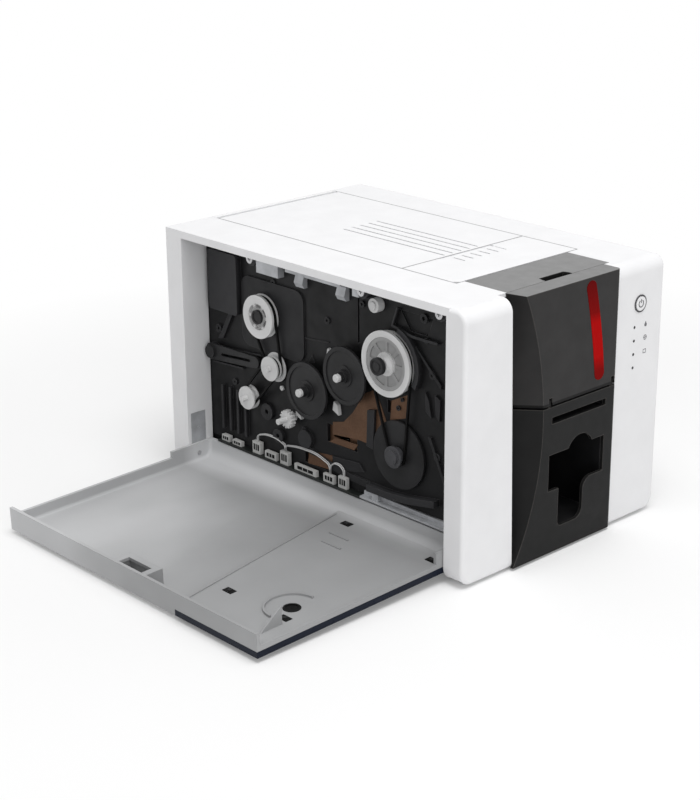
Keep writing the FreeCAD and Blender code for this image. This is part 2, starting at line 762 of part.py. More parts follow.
def lower_front_cover():
    cover = black_block(0, front_seam_z, facet_y, 0)
    cover = round_edges(cover, front_edge_r, lambda e: runs_along(e, "z") and near(e.BoundBox.XMin,
            front_right_x) and near(e.BoundBox.YMin, front_y))
    hollow = black_block(wall, front_seam_z - wall, facet_y, wall)
    cover = cover.cut(hollow)
    cover = cover.cut(block(facet_x, half_w, facet_y - wall * 2, facet_y + overrun, floor_t + wall,
                            front_seam_z - wall))
    cover = cover.cut(output_prism(front_y - overrun, front_y + wall + overrun))
    cover = cover.cut(block(slot_left_x, slot_right_x, front_y - overrun, front_y + wall + overrun, slot_z,
                            slot_z + slot_h))
    cover = cover.cut(block(right_panel_x - right_panel_kink - seam, half_w, -half_d - seam, facet_y,
                            -overrun, front_seam_z + overrun))
    cover = cover.cut(block(-half_w, half_w, front_back_y - seam, 0, -overrun, floor_t + seam))
    ears = []
    for x in feeder_ear_xs:
        ear = block(x, x + feeder_ear_w, feeder_pin_y - feeder_ear_r, feeder_pin_y + feeder_ear_r,
                    front_seam_z, feeder_pin_z)
        ears.append(join([ear, rod("x", feeder_pin_y, feeder_pin_z, feeder_ear_r, x, x + feeder_ear_w)]))
    cover = join([cover] + ears)
    return cover.cut(rod("x", feeder_pin_y, feeder_pin_z, feeder_pin_r + touch, feeder_ear_xs[0] - overrun,
                         feeder_ear_xs[1] + feeder_ear_w + overrun))


def output_box():
    """Liner behind the output opening: an open box for the finished cards."""
    y0 = front_y + wall + box_gap
    y1 = y0 + output_depth
    outer = block(output_left_x - output_wall, output_right_x + output_wall, y0, y1, floor_t, notch_top_z
                  + output_wall)
    inner = block(output_left_x, output_right_x, y0 - overrun, y1 - output_wall, tongue_low_z - output_wall,
                  notch_top_z)
    legs = block(output_left_x, output_right_x, front_back_y, y1 - output_wall, -overrun, tongue_low_z
                 - output_wall * 2)
    short = block(output_left_x - output_wall - seam, output_right_x + output_wall + seam, y0 - overrun,
                  front_back_y, -overrun, floor_t + wall + seam)
    return outer.cut(inner).cut(legs).cut(short)


def card_guide():
    """Two rails that carry a card from the rear of the bay to the printing place."""
    y0, y1 = front_y + wall + box_gap, disc1_y - roller_r * 2
    low = block(slot_left_x - output_wall, slot_right_x + output_wall, y0, y1, notch_top_z + output_wall,
                slot_z - seam)
    low = low.cut(block(slot_left_x + output_wall, slot_right_x - output_wall, y0 + output_wall,
                        y1 - output_wall, notch_top_z, slot_z - output_wall))
    sides = [block(x, x + output_wall, y0, y1, notch_top_z + output_wall, slot_z + slot_h + output_wall)
             for x in (slot_left_x - output_wall, slot_right_x)]
    guide = join([low] + sides)
    return guide


def feeder_box():
    outer = block(slot_left_x - bay_wall, slot_right_x + bay_wall, bay_front_y, bay_rear_y, bay_floor_z
                  - bay_wall, bay_top_z)
    inner = block(slot_left_x, slot_right_x, bay_front_y - overrun, bay_rear_y - bay_wall, bay_floor_z,
                  bay_top_z + overrun)
    return outer.cut(inner)


def black_top_panel():
    panel = block(panel_left_x + seam, panel_right_x - seam, front_back_y + seam, top_front_y - seam,
                  body_h - wall, body_h)
    cup = rod("z", recess_x, front_back_y + seam * 3, recess_r + wall, body_h - recess_h - wall, body_h)
    ahead = block(recess_x - recess_r * 2, recess_x + recess_r * 2, front_back_y - recess_r * 2, front_back_y
                  + seam, 0, body_h + overrun)
    back = block(recess_x - recess_r * 2, recess_x + recess_r * 2, front_back_y + recess_depth + wall,
                 front_back_y + recess_r * 2, 0, body_h + overrun)
    panel = join([panel, cup.cut(ahead).cut(back)])
    hole = rod("z", recess_x, front_back_y + seam * 3, recess_r, body_h - recess_h, body_h + overrun)
    hole = hole.cut(block(recess_x - recess_r * 2, recess_x + recess_r * 2, front_back_y + recess_depth,
                          front_back_y + recess_r * 2, 0, body_h + overrun * 2))
    rim = block(panel_left_x, panel_right_x, front_back_y, front_back_y + seam, 0, body_h)
    return panel.cut(hole).cut(rim)


def corner_plate(x0, x1, y0, y1, z0, z1):
    """A plate of the lid's surface whose front left corner is rounded in plan."""
    plate = block(x0, x1, y0, y1, z0, z1)
    return round_edges(plate, lid_corner_r, lambda e: runs_along(e, "z") and near(e.BoundBox.XMin, x0)
                       and near(e.BoundBox.YMin, y0))


def grooves(x, count, y0, y1):
    return [block(x + groove_pitch * i - groove_w / 2, x + groove_pitch * i + groove_w / 2, y0, y1,
                  body_h - groove_deep, body_h + overrun) for i in range(count)]


def top_front_piece():
    left, right = lid_left_x + seam, lid_right_x - seam
    front = top_front_y + seam
    plate = corner_plate(left, right, front, cross_seam_y - seam, body_h - lid_t, body_h)
    ledge = block(left + lid_corner_r, right - ledge_d, cross_seam_y - ledge_d, cross_seam_y + ledge_d,
                  body_h - lid_t - ledge_t, body_h - lid_t)
    sides = [block(x, x + ledge_t, front + lid_corner_r, cross_seam_y - seam, plate_top_z, body_h - lid_t)
             for x in (left + lid_corner_r, right - ledge_d)]
    grip = block(grip_left_x, grip_right_x, cross_seam_y - grip_d, cross_seam_y + ledge_d + overrun,
                 body_h - groove_deep, body_h + overrun)
    piece = join([plate, ledge] + sides)
    for cut in grooves(groove_x, stub_count, stub_front_y, cross_seam_y - grip_d - groove_w):
        piece = piece.cut(cut)
    return piece.cut(grip)


def top_lid():
    left, right = lid_left_x + seam, lid_right_x - seam
    front = cross_seam_y + seam
    plate = block(left, right, front, lid_pin_y, body_h - lid_t, body_h)
    knuckle = rod("x", lid_pin_y, body_h - knuckle_r, knuckle_r, left, right)
    rims = [block(x, x + lid_rim_t, cross_seam_y + ledge_d * 2, lid_pin_y, body_h - lid_rim_h,
                  body_h - lid_t) for x in (left + ledge_d, right - ledge_d - lid_rim_t)]
    lid = join([plate, knuckle] + rims)
    for cut in grooves(groove_x, groove_count, groove_front_y, groove_rear_y):
        lid = lid.cut(cut)
    return lid.cut(rod("x", lid_pin_y, body_h - knuckle_r, lid_pin_r, left - overrun, right + overrun))


def lid_pin():
    return rod("x", lid_pin_y, body_h - knuckle_r, lid_pin_r, lid_left_x - lid_pin_boss + seam, lid_right_x
               + lid_pin_boss - seam)


def print_head():
    low = disc1_z + roller_r + head_gap
    y0, y1 = disc1_y - head_d / 2, disc1_y + head_d / 2
    top = body_h - lid_t
    bar = block(slot_left_x, slot_right_x, y0, y1, low + head_h / 4, low + head_h)
    edge = block(slot_left_x, slot_right_x, disc1_y - head_gap, disc1_y + head_gap * 2, low, low + head_h / 2)
    arms = [block(x, x + head_arm_w, y0, y1, low + head_h / 2, top) for x in (slot_left_x, slot_right_x
            - head_arm_w)]
    return join([bar, edge] + arms)


def opened(shape):
    """The side door and what rides on it are drawn closed, then swung open about the pin."""
    turned = shape.copy()
    turned.rotate(FreeCAD.Vector(pivot_x, 0, pivot_z), FreeCAD.Vector(0, 1, 0), -door_open_deg)
    return turned


def trim_outline(grow):
    """Front part of the door's outer face, bounded behind by a slanting edge."""
    slope = (trim_low_y - trim_top_y) / (door_top_z - trim_low_z)
    top_z = door_top_z + overrun
    low_z = trim_low_z - grow
    return [(-door_half_l - overrun, low_z), (trim_low_y + grow + slope * grow, low_z), (trim_top_y + grow
            - slope * overrun, top_z), (-door_half_l - overrun, top_z)]


def door_envelope():
    shape = block(door_out_x, door_out_x + door_top_wall_d, -door_half_l, door_half_l, 0, door_top_z)
    return round_edges(shape, bottom_edge_r, lambda e: runs_along(e, "y") and near(e.BoundBox.XMin,
            door_out_x) and near(e.BoundBox.ZMax, 0))


def side_door_closed():
    outer = door_envelope()
    end = door_half_l + overrun
    x_end = door_out_x + door_top_wall_d + overrun
    inner = block(door_out_x + wall, x_end, -door_half_l + wall, door_half_l - wall, wall, door_top_z - wall)
    inner = round_edges(inner, door_floor_r - wall / 4, lambda e: runs_along(e, "y")
                        and near(e.BoundBox.XMin, door_out_x + wall) and near(e.BoundBox.ZMax, wall))
    inner = round_edges(inner, wall, lambda e: runs_along(e, "z") and near(e.BoundBox.XMin, door_out_x
            + wall))
    step = prism("x", trim_outline(trim_floor_t), door_out_x, door_out_x + trim_t + trim_floor_t)
    floor = step.common(outer)
    door = outer.cut(inner).fuse(floor)
    door = door.cut(block(door_out_x + door_rim_d, x_end, door_half_l - wall - touch, end, door_ear_top_z,
                          door_top_z - wall))
    door = door.cut(block(door_out_x + door_ear_d, x_end, door_half_l - wall - touch, end, -overrun,
                          door_ear_top_z))
    door = door.cut(block(door_out_x + door_front_wall_d, x_end, -end, -door_half_l + wall + touch,
                          door_front_ear_top_z, door_top_z - wall))
    door = door.cut(block(door_out_x + door_ear_d, x_end, -end, -door_half_l + wall + touch, -overrun,
                          door_front_ear_top_z))
    door = door.cut(prism("x", trim_outline(touch), door_out_x - overrun, door_out_x + trim_t + touch))
    latch = block(door_out_x + wall / 2, door_out_x + door_top_wall_d - wall, -latch_l / 2, latch_l / 2,
                  door_top_z - latch_h, door_top_z - wall / 2)
    hollow = block(door_out_x + wall, door_out_x + door_top_wall_d - wall * 2, -latch_l / 2 + wall,
                   latch_l / 2 - wall, door_top_z - latch_h + wall, door_top_z - wall)
    low = door_top_z - latch_h / 2 - latch_window_h / 2
    window = block(door_out_x + door_top_wall_d / 2, x_end, -latch_window_l / 2, latch_window_l / 2, low,
                   low + latch_window_h)
    latch = latch.cut(hollow).cut(window)
    door = door.fuse([latch] + door_ribs())
    for y, z in clip_hole_places():
        door = door.cut(block(door_out_x - overrun, x_end, y - clip_hole_l / 2, y + clip_hole_l / 2,
                              z - clip_hole_h / 2, z + clip_hole_h / 2).common(block(door_out_x + trim_t
                + touch, x_end, -end, end, 0, door_top_z)))
    door = door.cut(rod("x", door_hole_y, door_hole_z, door_hole_r, door_out_x + trim_t, x_end))
    for y0, y1 in ((-end, -door_half_l + wall + touch), (door_half_l - wall - touch, end)):
        door = door.cut(rod("y", pivot_x, pivot_z, hinge_pin_r + touch, y0, y1))
    return door.removeSplitter()


def clip_hole_places():
    """Two slots on each side of the trim, near the door's top and near its hinge."""
    high, low = door_hole_z + door_hole_r * 2, trim_low_z + clip_hole_l
    inset = clip_hole_l * 2
    return [(trim_top_y - clip_hole_l, high), (trim_low_y - inset, low), (-door_half_l + inset, high),
            (-door_half_l + clip_hole_l, low)]


def door_ribs():
    """A raised arc round the hole, a fin beside it and two low straight ribs."""
    floor = door_out_x + trim_t + trim_floor_t
    ring = rod("x", door_hole_y, door_hole_z, arc_rib_r, floor - touch, floor + rib_h)
    ring = ring.cut(rod("x", door_hole_y, door_hole_z, arc_rib_r - rib_w, floor - overrun, floor + rib_h
                        + overrun))
    ring = ring.common(block(floor - overrun, floor + rib_h * 2, door_hole_y, door_hole_y + arc_rib_r,
                             door_hole_z - arc_rib_r, door_hole_z + arc_rib_r))
    y = door_hole_y - door_hole_r * 2
    z = door_hole_z + arc_rib_r
    slope = [(floor - touch, z), (floor + fin_h - touch, z), (floor - touch, z + fin_l)]
    fin = prism("y", slope, y, y + fin_t)
    made = [ring, fin]
    for i, share in enumerate(rib_shares):
        z_low = door_top_z * share
        y_rib = -door_half_l / 3 - door_hole_r * i
        made.append(block(floor - touch, floor + rib_h / 2, y_rib - arc_rib_r, y_rib, z_low, z_low + rib_w))
    return made


def side_door():
    return opened(side_door_closed())


def side_door_trim():
    plate = prism("x", trim_outline(-touch), door_out_x, door_out_x + trim_t)
    return opened(plate.common(door_envelope()))


def hinge_pins():
    made = []
    for y0, y1 in ((-door_half_l, opening_front_y - wall), (door_half_l, opening_rear_y + wall)):
        inward = wall if y0 < 0 else -wall
        made.append(rod("y", pivot_x, pivot_z, hinge_pin_r, y0 + inward, y1))
    return group(made)


def hinge_plate():
    plate = hinge_plate_block(0)
    box = plate.BoundBox
    hole = rod("y", (box.XMin + box.XMax) / 2, (box.ZMin + box.ZMax) / 2, screw_head_t / 2, box.YMin,
               box.YMax)
    return plate.cut(hole)


def wheel_places():
    return [(supply_y, supply_z), (double_y, double_z), (lower_y, lower_z), (motor_y, motor_z), (disc1_y,
            disc1_z), (disc2_y, disc2_z), (feed_y, feed_z), (clutch_y, clutch_z)]


def left_chassis_plate():
    """Moulded frame that carries the drive: plate, raised panel, groove, pocket, bosses and ribs."""
    low_rear_y = opening_rear_y - wall * 4
    plate = block(plate_front_x, plate_front_x + plate_t, plate_front_y, plate_rear_y, plate_low_z,
                  plate_top_z)
    legs = [block(plate_front_x + plate_t / 2, plate_front_x + plate_t, y0, y1, floor_t, plate_low_z) for y0,
            y1 in ((plate_front_y, -half_d + column_d * 2 - seam), (low_rear_y + seam, plate_rear_y))]
    raised = block(plate_front_x - web_t, plate_front_x, supply_y - supply_r * 2.6, supply_y
                   + supply_r * 1.6, supply_z - supply_r * 1.7, supply_z + supply_r * 1.6)
    raised = round_edges(raised, lid_corner_r, lambda e: runs_along(e, "x"))
    made = [plate, raised] + legs
    for i in range(4):
        y = low_rear_y - wall * 3 - lid_corner_r * i
        made.append(block(plate_front_x - rim_w, plate_front_x, y, y + rim_t, plate_low_z + lid_corner_r,
                          lower_z))
    made.append(block(plate_front_x - rim_w, plate_front_x, plate_front_y, feed_y, plate_top_z
                      - lid_corner_r, plate_top_z - lid_corner_r + rim_t))
    made.append(rod("x", motor_y - motor_gear_r * 2, plate_low_z + motor_gear_r * 3.7, motor_gear_r,
                    plate_front_x - rim_w, plate_front_x))
    made.append(rod("x", arm_y, arm_z, arm_r, plate_front_x - rim_w, plate_front_x))
    made.extend(lower_guard())
    box = block(plate_front_x - rim_w * 1.6, plate_front_x, supply_y + supply_r * 1.7, plate_rear_y
                - rear_column_d, supply_z - supply_r * 0.4, plate_top_z - lid_corner_r)
    made.append(round_edges(box, rim_w, lambda e: runs_along(e, "x")))
    for y, z in fixing_places():
        made.append(rod("x", y, z, screw_r + rim_t, plate_front_x - rim_w * 2, plate_front_x))
    frame = join(made)
    groove_y = disc2_y - rim_w * 2
    frame = frame.cut(block(plate_front_x - overrun, plate_front_x + web_t, groove_y - rim_t, groove_y,
                            disc2_z + disc_r + rim_w, plate_top_z - lid_corner_r))
    pocket = [(feed_y - feed_r * 0.3, plate_top_z - lid_corner_r * 1.6), (feed_y - feed_r * 1.6, plate_top_z
            - lid_corner_r * 1.6), (feed_y - feed_r * 1.4, feed_z + feed_r * 1.1), (feed_y - feed_r * 0.7,
            feed_z + feed_r * 1.1)]
    frame = frame.cut(prism("x", pocket, plate_front_x - overrun, plate_front_x + web_t))
    for y0, y1, z0, z1 in plate_window_shares:
        frame = frame.cut(block(plate_front_x - overrun, plate_front_x + plate_t + overrun, disc_r * y0,
                                disc_r * y1, disc1_z * z0, disc1_z * z1))
    for y, z in wheel_places():
        frame = frame.cut(rod("x", y, z, shaft_r + running, plate_front_x - overrun * 4, plate_front_x
                              + plate_t + overrun))
    return frame


def lower_guard():
    """Curved moulding along the bottom: a thin rear part beside the leads and a deep front part."""
    top = [(y * clutch_disc_r, z * clutch_z) for y, z in guard_top_shares]
    drop = clutch_disc_r * guard_drop_share
    deep = [point for point in top if point[0] < board_front_y]
    made = []
    for points, proud in ((top, web_t), (deep, rim_w * 2)):
        below = [(y, z - drop) for y, z in reversed(points)]
        made.append(prism("x", points + below, plate_front_x - proud, plate_front_x))
    return made


def fixing_places():
    z = plate_top_z - screw_r * 2
    return [(supply_y + groove_pitch, z), (disc2_y - groove_pitch * 2, z), (-half_d + column_d * 2.3, z)]


def copper_plate():
    x = plate_front_x + plate_t
    plate = block(x, x + web_t, clutch_y - rim_w * 2, disc_r * 1.55, plate_low_z + rim_w, feed_z - feed_r
                  - rim_w)
    hole = block(x - overrun, x + web_t + overrun, -disc_r * 0.8, 0, disc1_z * 0.64, disc1_z * 0.7)
    for y, z in ((disc1_y, disc1_z), (clutch_y, clutch_z)):
        plate = plate.cut(rod("x", y, z, shaft_r + running, x - overrun, x + web_t + overrun))
    edge = block(x - rim_t, x, disc_r * 0.15, disc_r * 1.25, plate_low_z + rim_w * 2.5, plate_low_z
                 + rim_w * 2.5 + web_t)
    return join([plate.cut(hole), edge])


def right_chassis_plate():
    plate = block(right_plate_x, right_plate_x + plate_t, plate_front_y, plate_rear_y, floor_t, plate_top_z)
    for y, z in ((supply_y, supply_z), (disc1_y, disc1_z), (disc2_y, disc2_z)):
        plate = plate.cut(rod("x", y, z, roller_shaft_r + running, right_plate_x - overrun, right_plate_x
                              + plate_t + overrun))
    return plate


def cross_bars():
    """Bars that tie the two side plates together at the rear and under the bay."""
    x0, x1 = plate_front_x + plate_t, right_plate_x
    rear = block(x0, x1, plate_rear_y - lid_corner_r, plate_rear_y - lid_corner_r + rim_w, lower_z, supply_z)
    front = block(x0, x1, bay_rear_y, bay_rear_y + rim_w, bay_floor_z - bay_wall, bay_floor_z + groove_pitch)
    shelf = block(x0, x1, bay_rear_y - clutch_disc_r, bay_rear_y, bay_floor_z - bay_wall * 2, bay_floor_z
                  - bay_wall)
    mid = block(slot_left_x - output_wall - seam, slot_right_x + output_wall + seam, bay_rear_y
                - clutch_disc_r - overrun, bay_rear_y + rim_w, 0, bay_floor_z - bay_wall)
    return group([rear, join([front, shelf]).cut(mid)])


def circuit_board():
    return block(board_left_x, board_right_x, board_front_y, board_rear_y, board_low_z, board_low_z + board_t)


def connectors():
    """Rows of place along the board, length, depth and height; the first is a share of its length."""
    made = []
    length = board_rear_y - board_front_y
    top = board_low_z + board_t
    for place_share, l_share, d_share, h_share in connector_shares:
        rear = board_rear_y - length * place_share
        body = block(board_left_x + board_t, board_left_x + board_t + connector_size * d_share * 0.5,
                     rear - connector_size * l_share, rear, top, top + connector_size * h_share)
        made.append(body)
    return group(made)


def cord_tube(points, radius):
    """A round lead along straight runs joined by tangent arcs."""
    marks = [FreeCAD.Vector(*p) for p in points]
    edges, start = [], marks[0]
    length = 0
    for before, at, after in zip(marks, marks[1:], marks[2:]):
        into, out = at - before, after - at
        turn = into.getAngle(out)
        reach = min(into.Length, out.Length) * lead_reach_share
        bend = reach / math.tan(turn / 2)
        print("lead bend radius", round(bend, 2), "mm")
        one, two = at - into.normalize() * reach, at + out.normalize() * reach
        inward = (out - into).normalize()
        middle = at + inward * (bend / math.cos(turn / 2) - bend)
        edges.append(Part.LineSegment(start, one).toShape())
        edges.append(Part.Arc(one, middle, two).toShape())
        start = two
    edges.append(Part.LineSegment(start, marks[-1]).toShape())
    path = Part.Wire(edges)
    first = marks[1] - marks[0]
    profile = Part.Wire([Part.makeCircle(radius, marks[0], first)])
    tube = Part.Solid(path.makePipeShell([profile], True, False))
    print("lead volume ratio", round(tube.Volume / (path.Length * math.pi * radius ** 2), 4))
    return tube


def leads():
    """Short white leads that arch from one connector to the next, held at both ends."""
    made = []
    length = board_rear_y - board_front_y
    top = board_low_z + board_t
    sizes = connector_shares
    for a, b in ((2, 4), (4, 6), (6, 7)):
        for side in (1, 2):
            x = board_left_x + board_t + lead_r * 3 * side
            y0 = board_rear_y - length * sizes[a][0] - connector_size * sizes[a][1] / 2
            y1 = board_rear_y - length * sizes[b][0] - connector_size * sizes[b][1] / 2
            z0, z1 = top + connector_size * sizes[a][3], top + connector_size * sizes[b][3]
            peak = max(z0, z1) + lead_rise + lead_r * side
            span = (y0 - y1) * lead_side_share
            rise0, rise1 = (peak - z0) * lead_rise_share, (peak - z1) * lead_rise_share
            made.append(cord_tube([(x, y0, z0), (x, y0, z0 + rise0), (x, y0 - span, peak), (x, y1 + span,
                    peak + lead_r), (x, y1, z1 + rise1), (x, y1, z1)], lead_r))
    return group(made)


def sill_bracket():
    x1 = plate_front_x
    front = -half_d + column_d + wall * 2
    strip = block(board_left_x, x1, front, board_front_y - seam, sill_low_z, sill_low_z + web_t)
    lip = block(x1 - web_t, x1, front, board_front_y - seam, sill_low_z, sill_low_z + sill_t * 1.5)
    cap = block(board_left_x + web_t, x1 - web_t, board_front_y - connector_size * 2.2, board_front_y
                - connector_size * 1.4, sill_low_z + web_t, sill_low_z + web_t + connector_size * 0.7)
    return join([strip, lip, cap])


def top_brackets():
    """Pale clips and hooks along the top of the frame, behind the door's upper edge."""
    made = []
    back = plate_front_x
    high = plate_top_z - bracket_top
    for y0, y1, drop, proud in ((supply_y + rim_w, supply_y - bracket_l, bracket_h, rim_w * 2),
                                (double_y - bracket_l * 0.6, disc2_y + rim_w * 3, bracket_h * 0.55, rim_w),
                                (disc2_y - rim_w * 1.2, disc2_y - rim_w * 3.4, bracket_h * 0.8, rim_w)):
        rail = block(back - proud, back, y1, y0, high - drop, high)
        rail = rail.cut(block(back - proud + web_t, back + overrun, y1 + web_t, y0 - web_t, high - drop
                              - overrun, high - web_t))
        made.append(rail)
    for y in (disc1_y + rim_w * 2, disc2_y + rim_w * 0.8):
        low = high - bracket_h * 0.55
        hook = prism("y", [(back - rim_w, low + web_t), (back, low + web_t), (back, low - bracket_h * 0.7),
                           (back - rim_w, low - bracket_h * 0.7), (back - rim_w * 1.7,
                low - bracket_h * 0.4)], y, y + bracket_h * 0.75)
        made[1] = join([made[1], hook])
    return group(made)


def frame_screws():
    made = []
    for y, z in fixing_places():
        x = plate_front_x - rim_w * 2
        head = rod("x", y, z, screw_r, x - screw_head_t, x)
        for w, h in ((screw_r, screw_slot_w), (screw_slot_w, screw_r)):
            head = head.cut(block(x - screw_head_t - overrun, x - screw_head_t / 2, y - w / 2, y + w / 2,
                                  z - h / 2, z + h / 2))
        made.append(head)
    return group(made)


def windows(y, z, inner, outer, count, x0, x1):
    """Ring of openings between spokes in a wheel's web."""
    ring = rod("x", y, z, outer, x0, x1).cut(rod("x", y, z, inner, x0 - overrun, x1 + overrun))
    spoke = 2 * math.pi * (inner + outer) / 2 / count * window_gap_share
    for i in range(count):
        turn = 360.0 / count * i
        bar = block(x0 - overrun, x1 + overrun, y, y + outer + overrun, z - spoke / 2, z + spoke / 2)
        bar.rotate(FreeCAD.Vector(0, y, z), FreeCAD.Vector(1, 0, 0), turn)
        ring = ring.cut(bar)
    return ring


def wheel(y, z, parts, shaft_end):
    """A turned wheel: coaxial steps given as radius, front x and rear x, on one shaft."""
    steps = [rod("x", y, z, r, x0, x1) for r, x0, x1 in parts]
    steps.append(rod("x", y, z, shaft_r, parts[0][1], shaft_end))
    return join(steps)


belt1_x = (plate_front_x - rim_w - belt_w, plate_front_x - rim_w)
belt2_x = (plate_front_x - rim_w * 2 - belt_w, plate_front_x - rim_w * 2)
shaft_end_x = plate_front_x + plate_t + rim_w


def supply_pulley():
    x0 = wheel_face_x
    body = wheel(supply_y, supply_z, [(supply_r, x0, x0 + rim_t), (supply_groove_r, x0 + rim_t, belt1_x[1]
            + belt_gap), (supply_r, belt1_x[1] + belt_gap, plate_front_x - web_t - wheel_gap)], shaft_end_x)
    dish = rod("x", supply_y, supply_z, supply_dish_r, x0 - overrun, x0 + web_t / 2)
    cuts = windows(supply_y, supply_z, supply_hub_r + web_t, supply_dish_r, 6, x0 - overrun, x0 + rim_t * 1.5)
    return body.cut(cuts).cut(dish)


def supply_hub():
    x0 = wheel_face_x + web_t / 2
    hub = rod("x", supply_y, supply_z, supply_hub_r, x0 - rim_t, x0)
    return hub.cut(rod("x", supply_y, supply_z, supply_hub_r - web_t, x0 - rim_t - overrun, x0 - rim_t * 0.7))


def double_pulley():
    x0 = belt2_x[0] - belt_gap - flange_t
    return wheel(double_y, double_z, [(double_r, x0, x0 + flange_t), (double_groove_r, x0, belt1_x[1]
            + belt_gap), (double_r, belt2_x[1], belt1_x[0] - belt_gap / 2), (double_r + rim_t, belt1_x[1]
            + belt_gap, plate_front_x - web_t - wheel_gap), (tip_r, x0 - rim_w, x0)], shaft_end_x)


def lower_pulley():
    x0 = belt2_x[0] - belt_gap - flange_t
    return wheel(lower_y, lower_z, [(lower_r, x0, x0 + flange_t), (lower_groove_r, x0, belt2_x[1]
            + belt_gap), (lower_r, belt2_x[1] + belt_gap, belt2_x[1] + belt_gap + rim_t),
            (tip_r, x0 - rim_w * 1.5, x0)], shaft_end_x)


def toothed_disc(y, z, tip, teeth, depth, x0, x1):
    """A spur gear whose teeth are worked out from its tip radius and count."""
    points = []
    pitch = 2 * math.pi / teeth
    for i in range(teeth):
        for share, radius in ((0.0, tip - depth), (0.3, tip - depth), (0.45, tip), (0.85, tip)):
            angle = pitch * (i + share)
            points.append((y + radius * math.cos(angle), z + radius * math.sin(angle)))
    return prism("x", points, x0, x1)


def motor_gear():
    x0 = wheel_face_x
    gear = toothed_disc(motor_y, motor_z, motor_gear_r, motor_gear_teeth, web_t, x0, x0 + rim_t * 2)
    shaft = rod("x", motor_y, motor_z, shaft_r, x0, plate_front_x + plate_t + web_t + belt_gap)
    return join([gear, shaft, rod("x", motor_y, motor_z, tip_r, shaft_tip_x, x0)])


def drive_motor():
    x0 = plate_front_x + plate_t + web_t + belt_gap * 2
    body = rod("x", motor_y, motor_z, motor_r, x0, x0 + motor_l)
    plate = block(x0 - belt_gap * 2, x0, motor_y - motor_r - rim_w * 3, motor_y + motor_r + rim_w * 3,
                  motor_z - motor_r, motor_z + motor_r)
    plate = plate.cut(rod("x", motor_y, motor_z, shaft_r + running * 2, x0 - overrun, x0 + overrun))
    return join([body, plate]).cut(rod("x", motor_y, motor_z, shaft_r + running * 2, x0 - overrun,
                                       x0 + overrun))


def drive_disc(y, z, inner_end):
    x0 = wheel_face_x
    back = plate_front_x - rim_w
    rim = rod("x", y, z, disc_r, x0, x0 + rim_t)
    rim = rim.cut(rod("x", y, z, disc_r - rim_w, x0 - overrun, x0 + web_t / 2))
    parts = [rim, rod("x", y, z, disc_pulley_r, x0, back + belt_gap * 2), rod("x", y, z, shaft_r, x0,
            inner_end), rod("x", y, z, shaft_r + rim_t, x0 - rim_t, x0), rod("x", y, z, shaft_r + web_t / 2,
            sleeve_x, x0)]
    return join(parts).cut(rod("x", y, z, shaft_r, sleeve_x - overrun, sleeve_x + rim_w))


def shaft_end_cap(y, z):
    """Pale end of a disc's shaft, which shows out of its dark sleeve."""
    cap = rod("x", y, z, shaft_r, shaft_tip_x, sleeve_x + rim_w)
    rim = [edge for edge in cap.Edges if near(edge.BoundBox.XMin, shaft_tip_x) and near(edge.BoundBox.XMax,
            shaft_tip_x)]
    return cap.makeChamfer(web_t / 3, rim)


def drum(y, z):
    """Ribbed spindle between the side plates, which the ribbon's core slides over."""
    x0, x1 = spindle_mid_x - spindle_half_l, spindle_mid_x + spindle_half_l
    body = rod("x", y, z, spindle_r, x0, x1)
    ribs = []
    for i in range(spindle_ribs):
        rib = block(x0, x1, y, y + spindle_r + spindle_rib_h, z - spindle_rib_w / 2, z + spindle_rib_w / 2)
        rib.rotate(FreeCAD.Vector(0, y, z), FreeCAD.Vector(1, 0, 0), 360.0 / spindle_ribs * i)
        ribs.append(rib)
    shaft = rod("x", y, z, roller_shaft_r, shaft_end_x, right_plate_x + plate_t)
    return join([body, shaft] + ribs)


def platen_roller():
    body = rod("x", disc1_y, disc1_z, roller_r, slot_left_x, slot_right_x)
    return join([body, rod("x", disc1_y, disc1_z, roller_shaft_r, shaft_end_x, right_plate_x + plate_t)])


def feed_pulley():
    x0 = plate_front_x - rim_w * 2
    face = x0 - rim_t
    body = wheel(feed_y, feed_z, [(feed_r, face, x0), (feed_groove_r, x0, belt1_x[1]), (feed_r - rim_t / 2,
            belt1_x[1] + belt_gap, plate_front_x - wheel_gap)], shaft_end_x)
    dish = rod("x", feed_y, feed_z, feed_dish_r, face - overrun, face + web_t / 2)
    hub = rod("x", feed_y, feed_z, feed_boss_r, face, x0)
    nose = Part.makeCone(feed_boss_r * 0.8, feed_boss_r * 0.55, rim_w, FreeCAD.Vector(face, feed_y, feed_z),
                         FreeCAD.Vector(-1, 0, 0))
    body = join([body.cut(dish), hub, nose])
    return body.cut(windows(feed_y, feed_z, feed_boss_r, feed_dish_r - rim_w, 8, face - overrun,
                            face + web_t))


def feed_hub():
    """Dark knob that stands well in front of the feed wheel on a thin neck."""
    x0 = plate_front_x - rim_w * 2 - rim_t - rim_w
    x1 = x0 - feed_hub_len
    knob = rod("x", feed_y, feed_z, feed_hub_r, x1, x1 + rim_w)
    knob = knob.cut(rod("x", feed_y, feed_z, feed_hub_r - web_t, x1 - overrun, x1 + web_t / 3))
    return join([knob, rod("x", feed_y, feed_z, shaft_r, x1, x0)])


def clutch_pulley():
    x0 = wheel_face_x
    return wheel(clutch_y, clutch_z, [(clutch_r, x0, x0 + web_t), (clutch_groove_r, x0, belt1_x[1]),
                                      (clutch_r * 0.65, x0 - web_t, x0)], shaft_end_x)


def clutch_disc():
    disc = rod("x", clutch_y, clutch_z, clutch_disc_r, belt1_x[1] + belt_gap, plate_front_x - wheel_gap)
    return disc.cut(rod("x", clutch_y, clutch_z, shaft_r + touch, plate_front_x - rim_w * 2, plate_front_x))


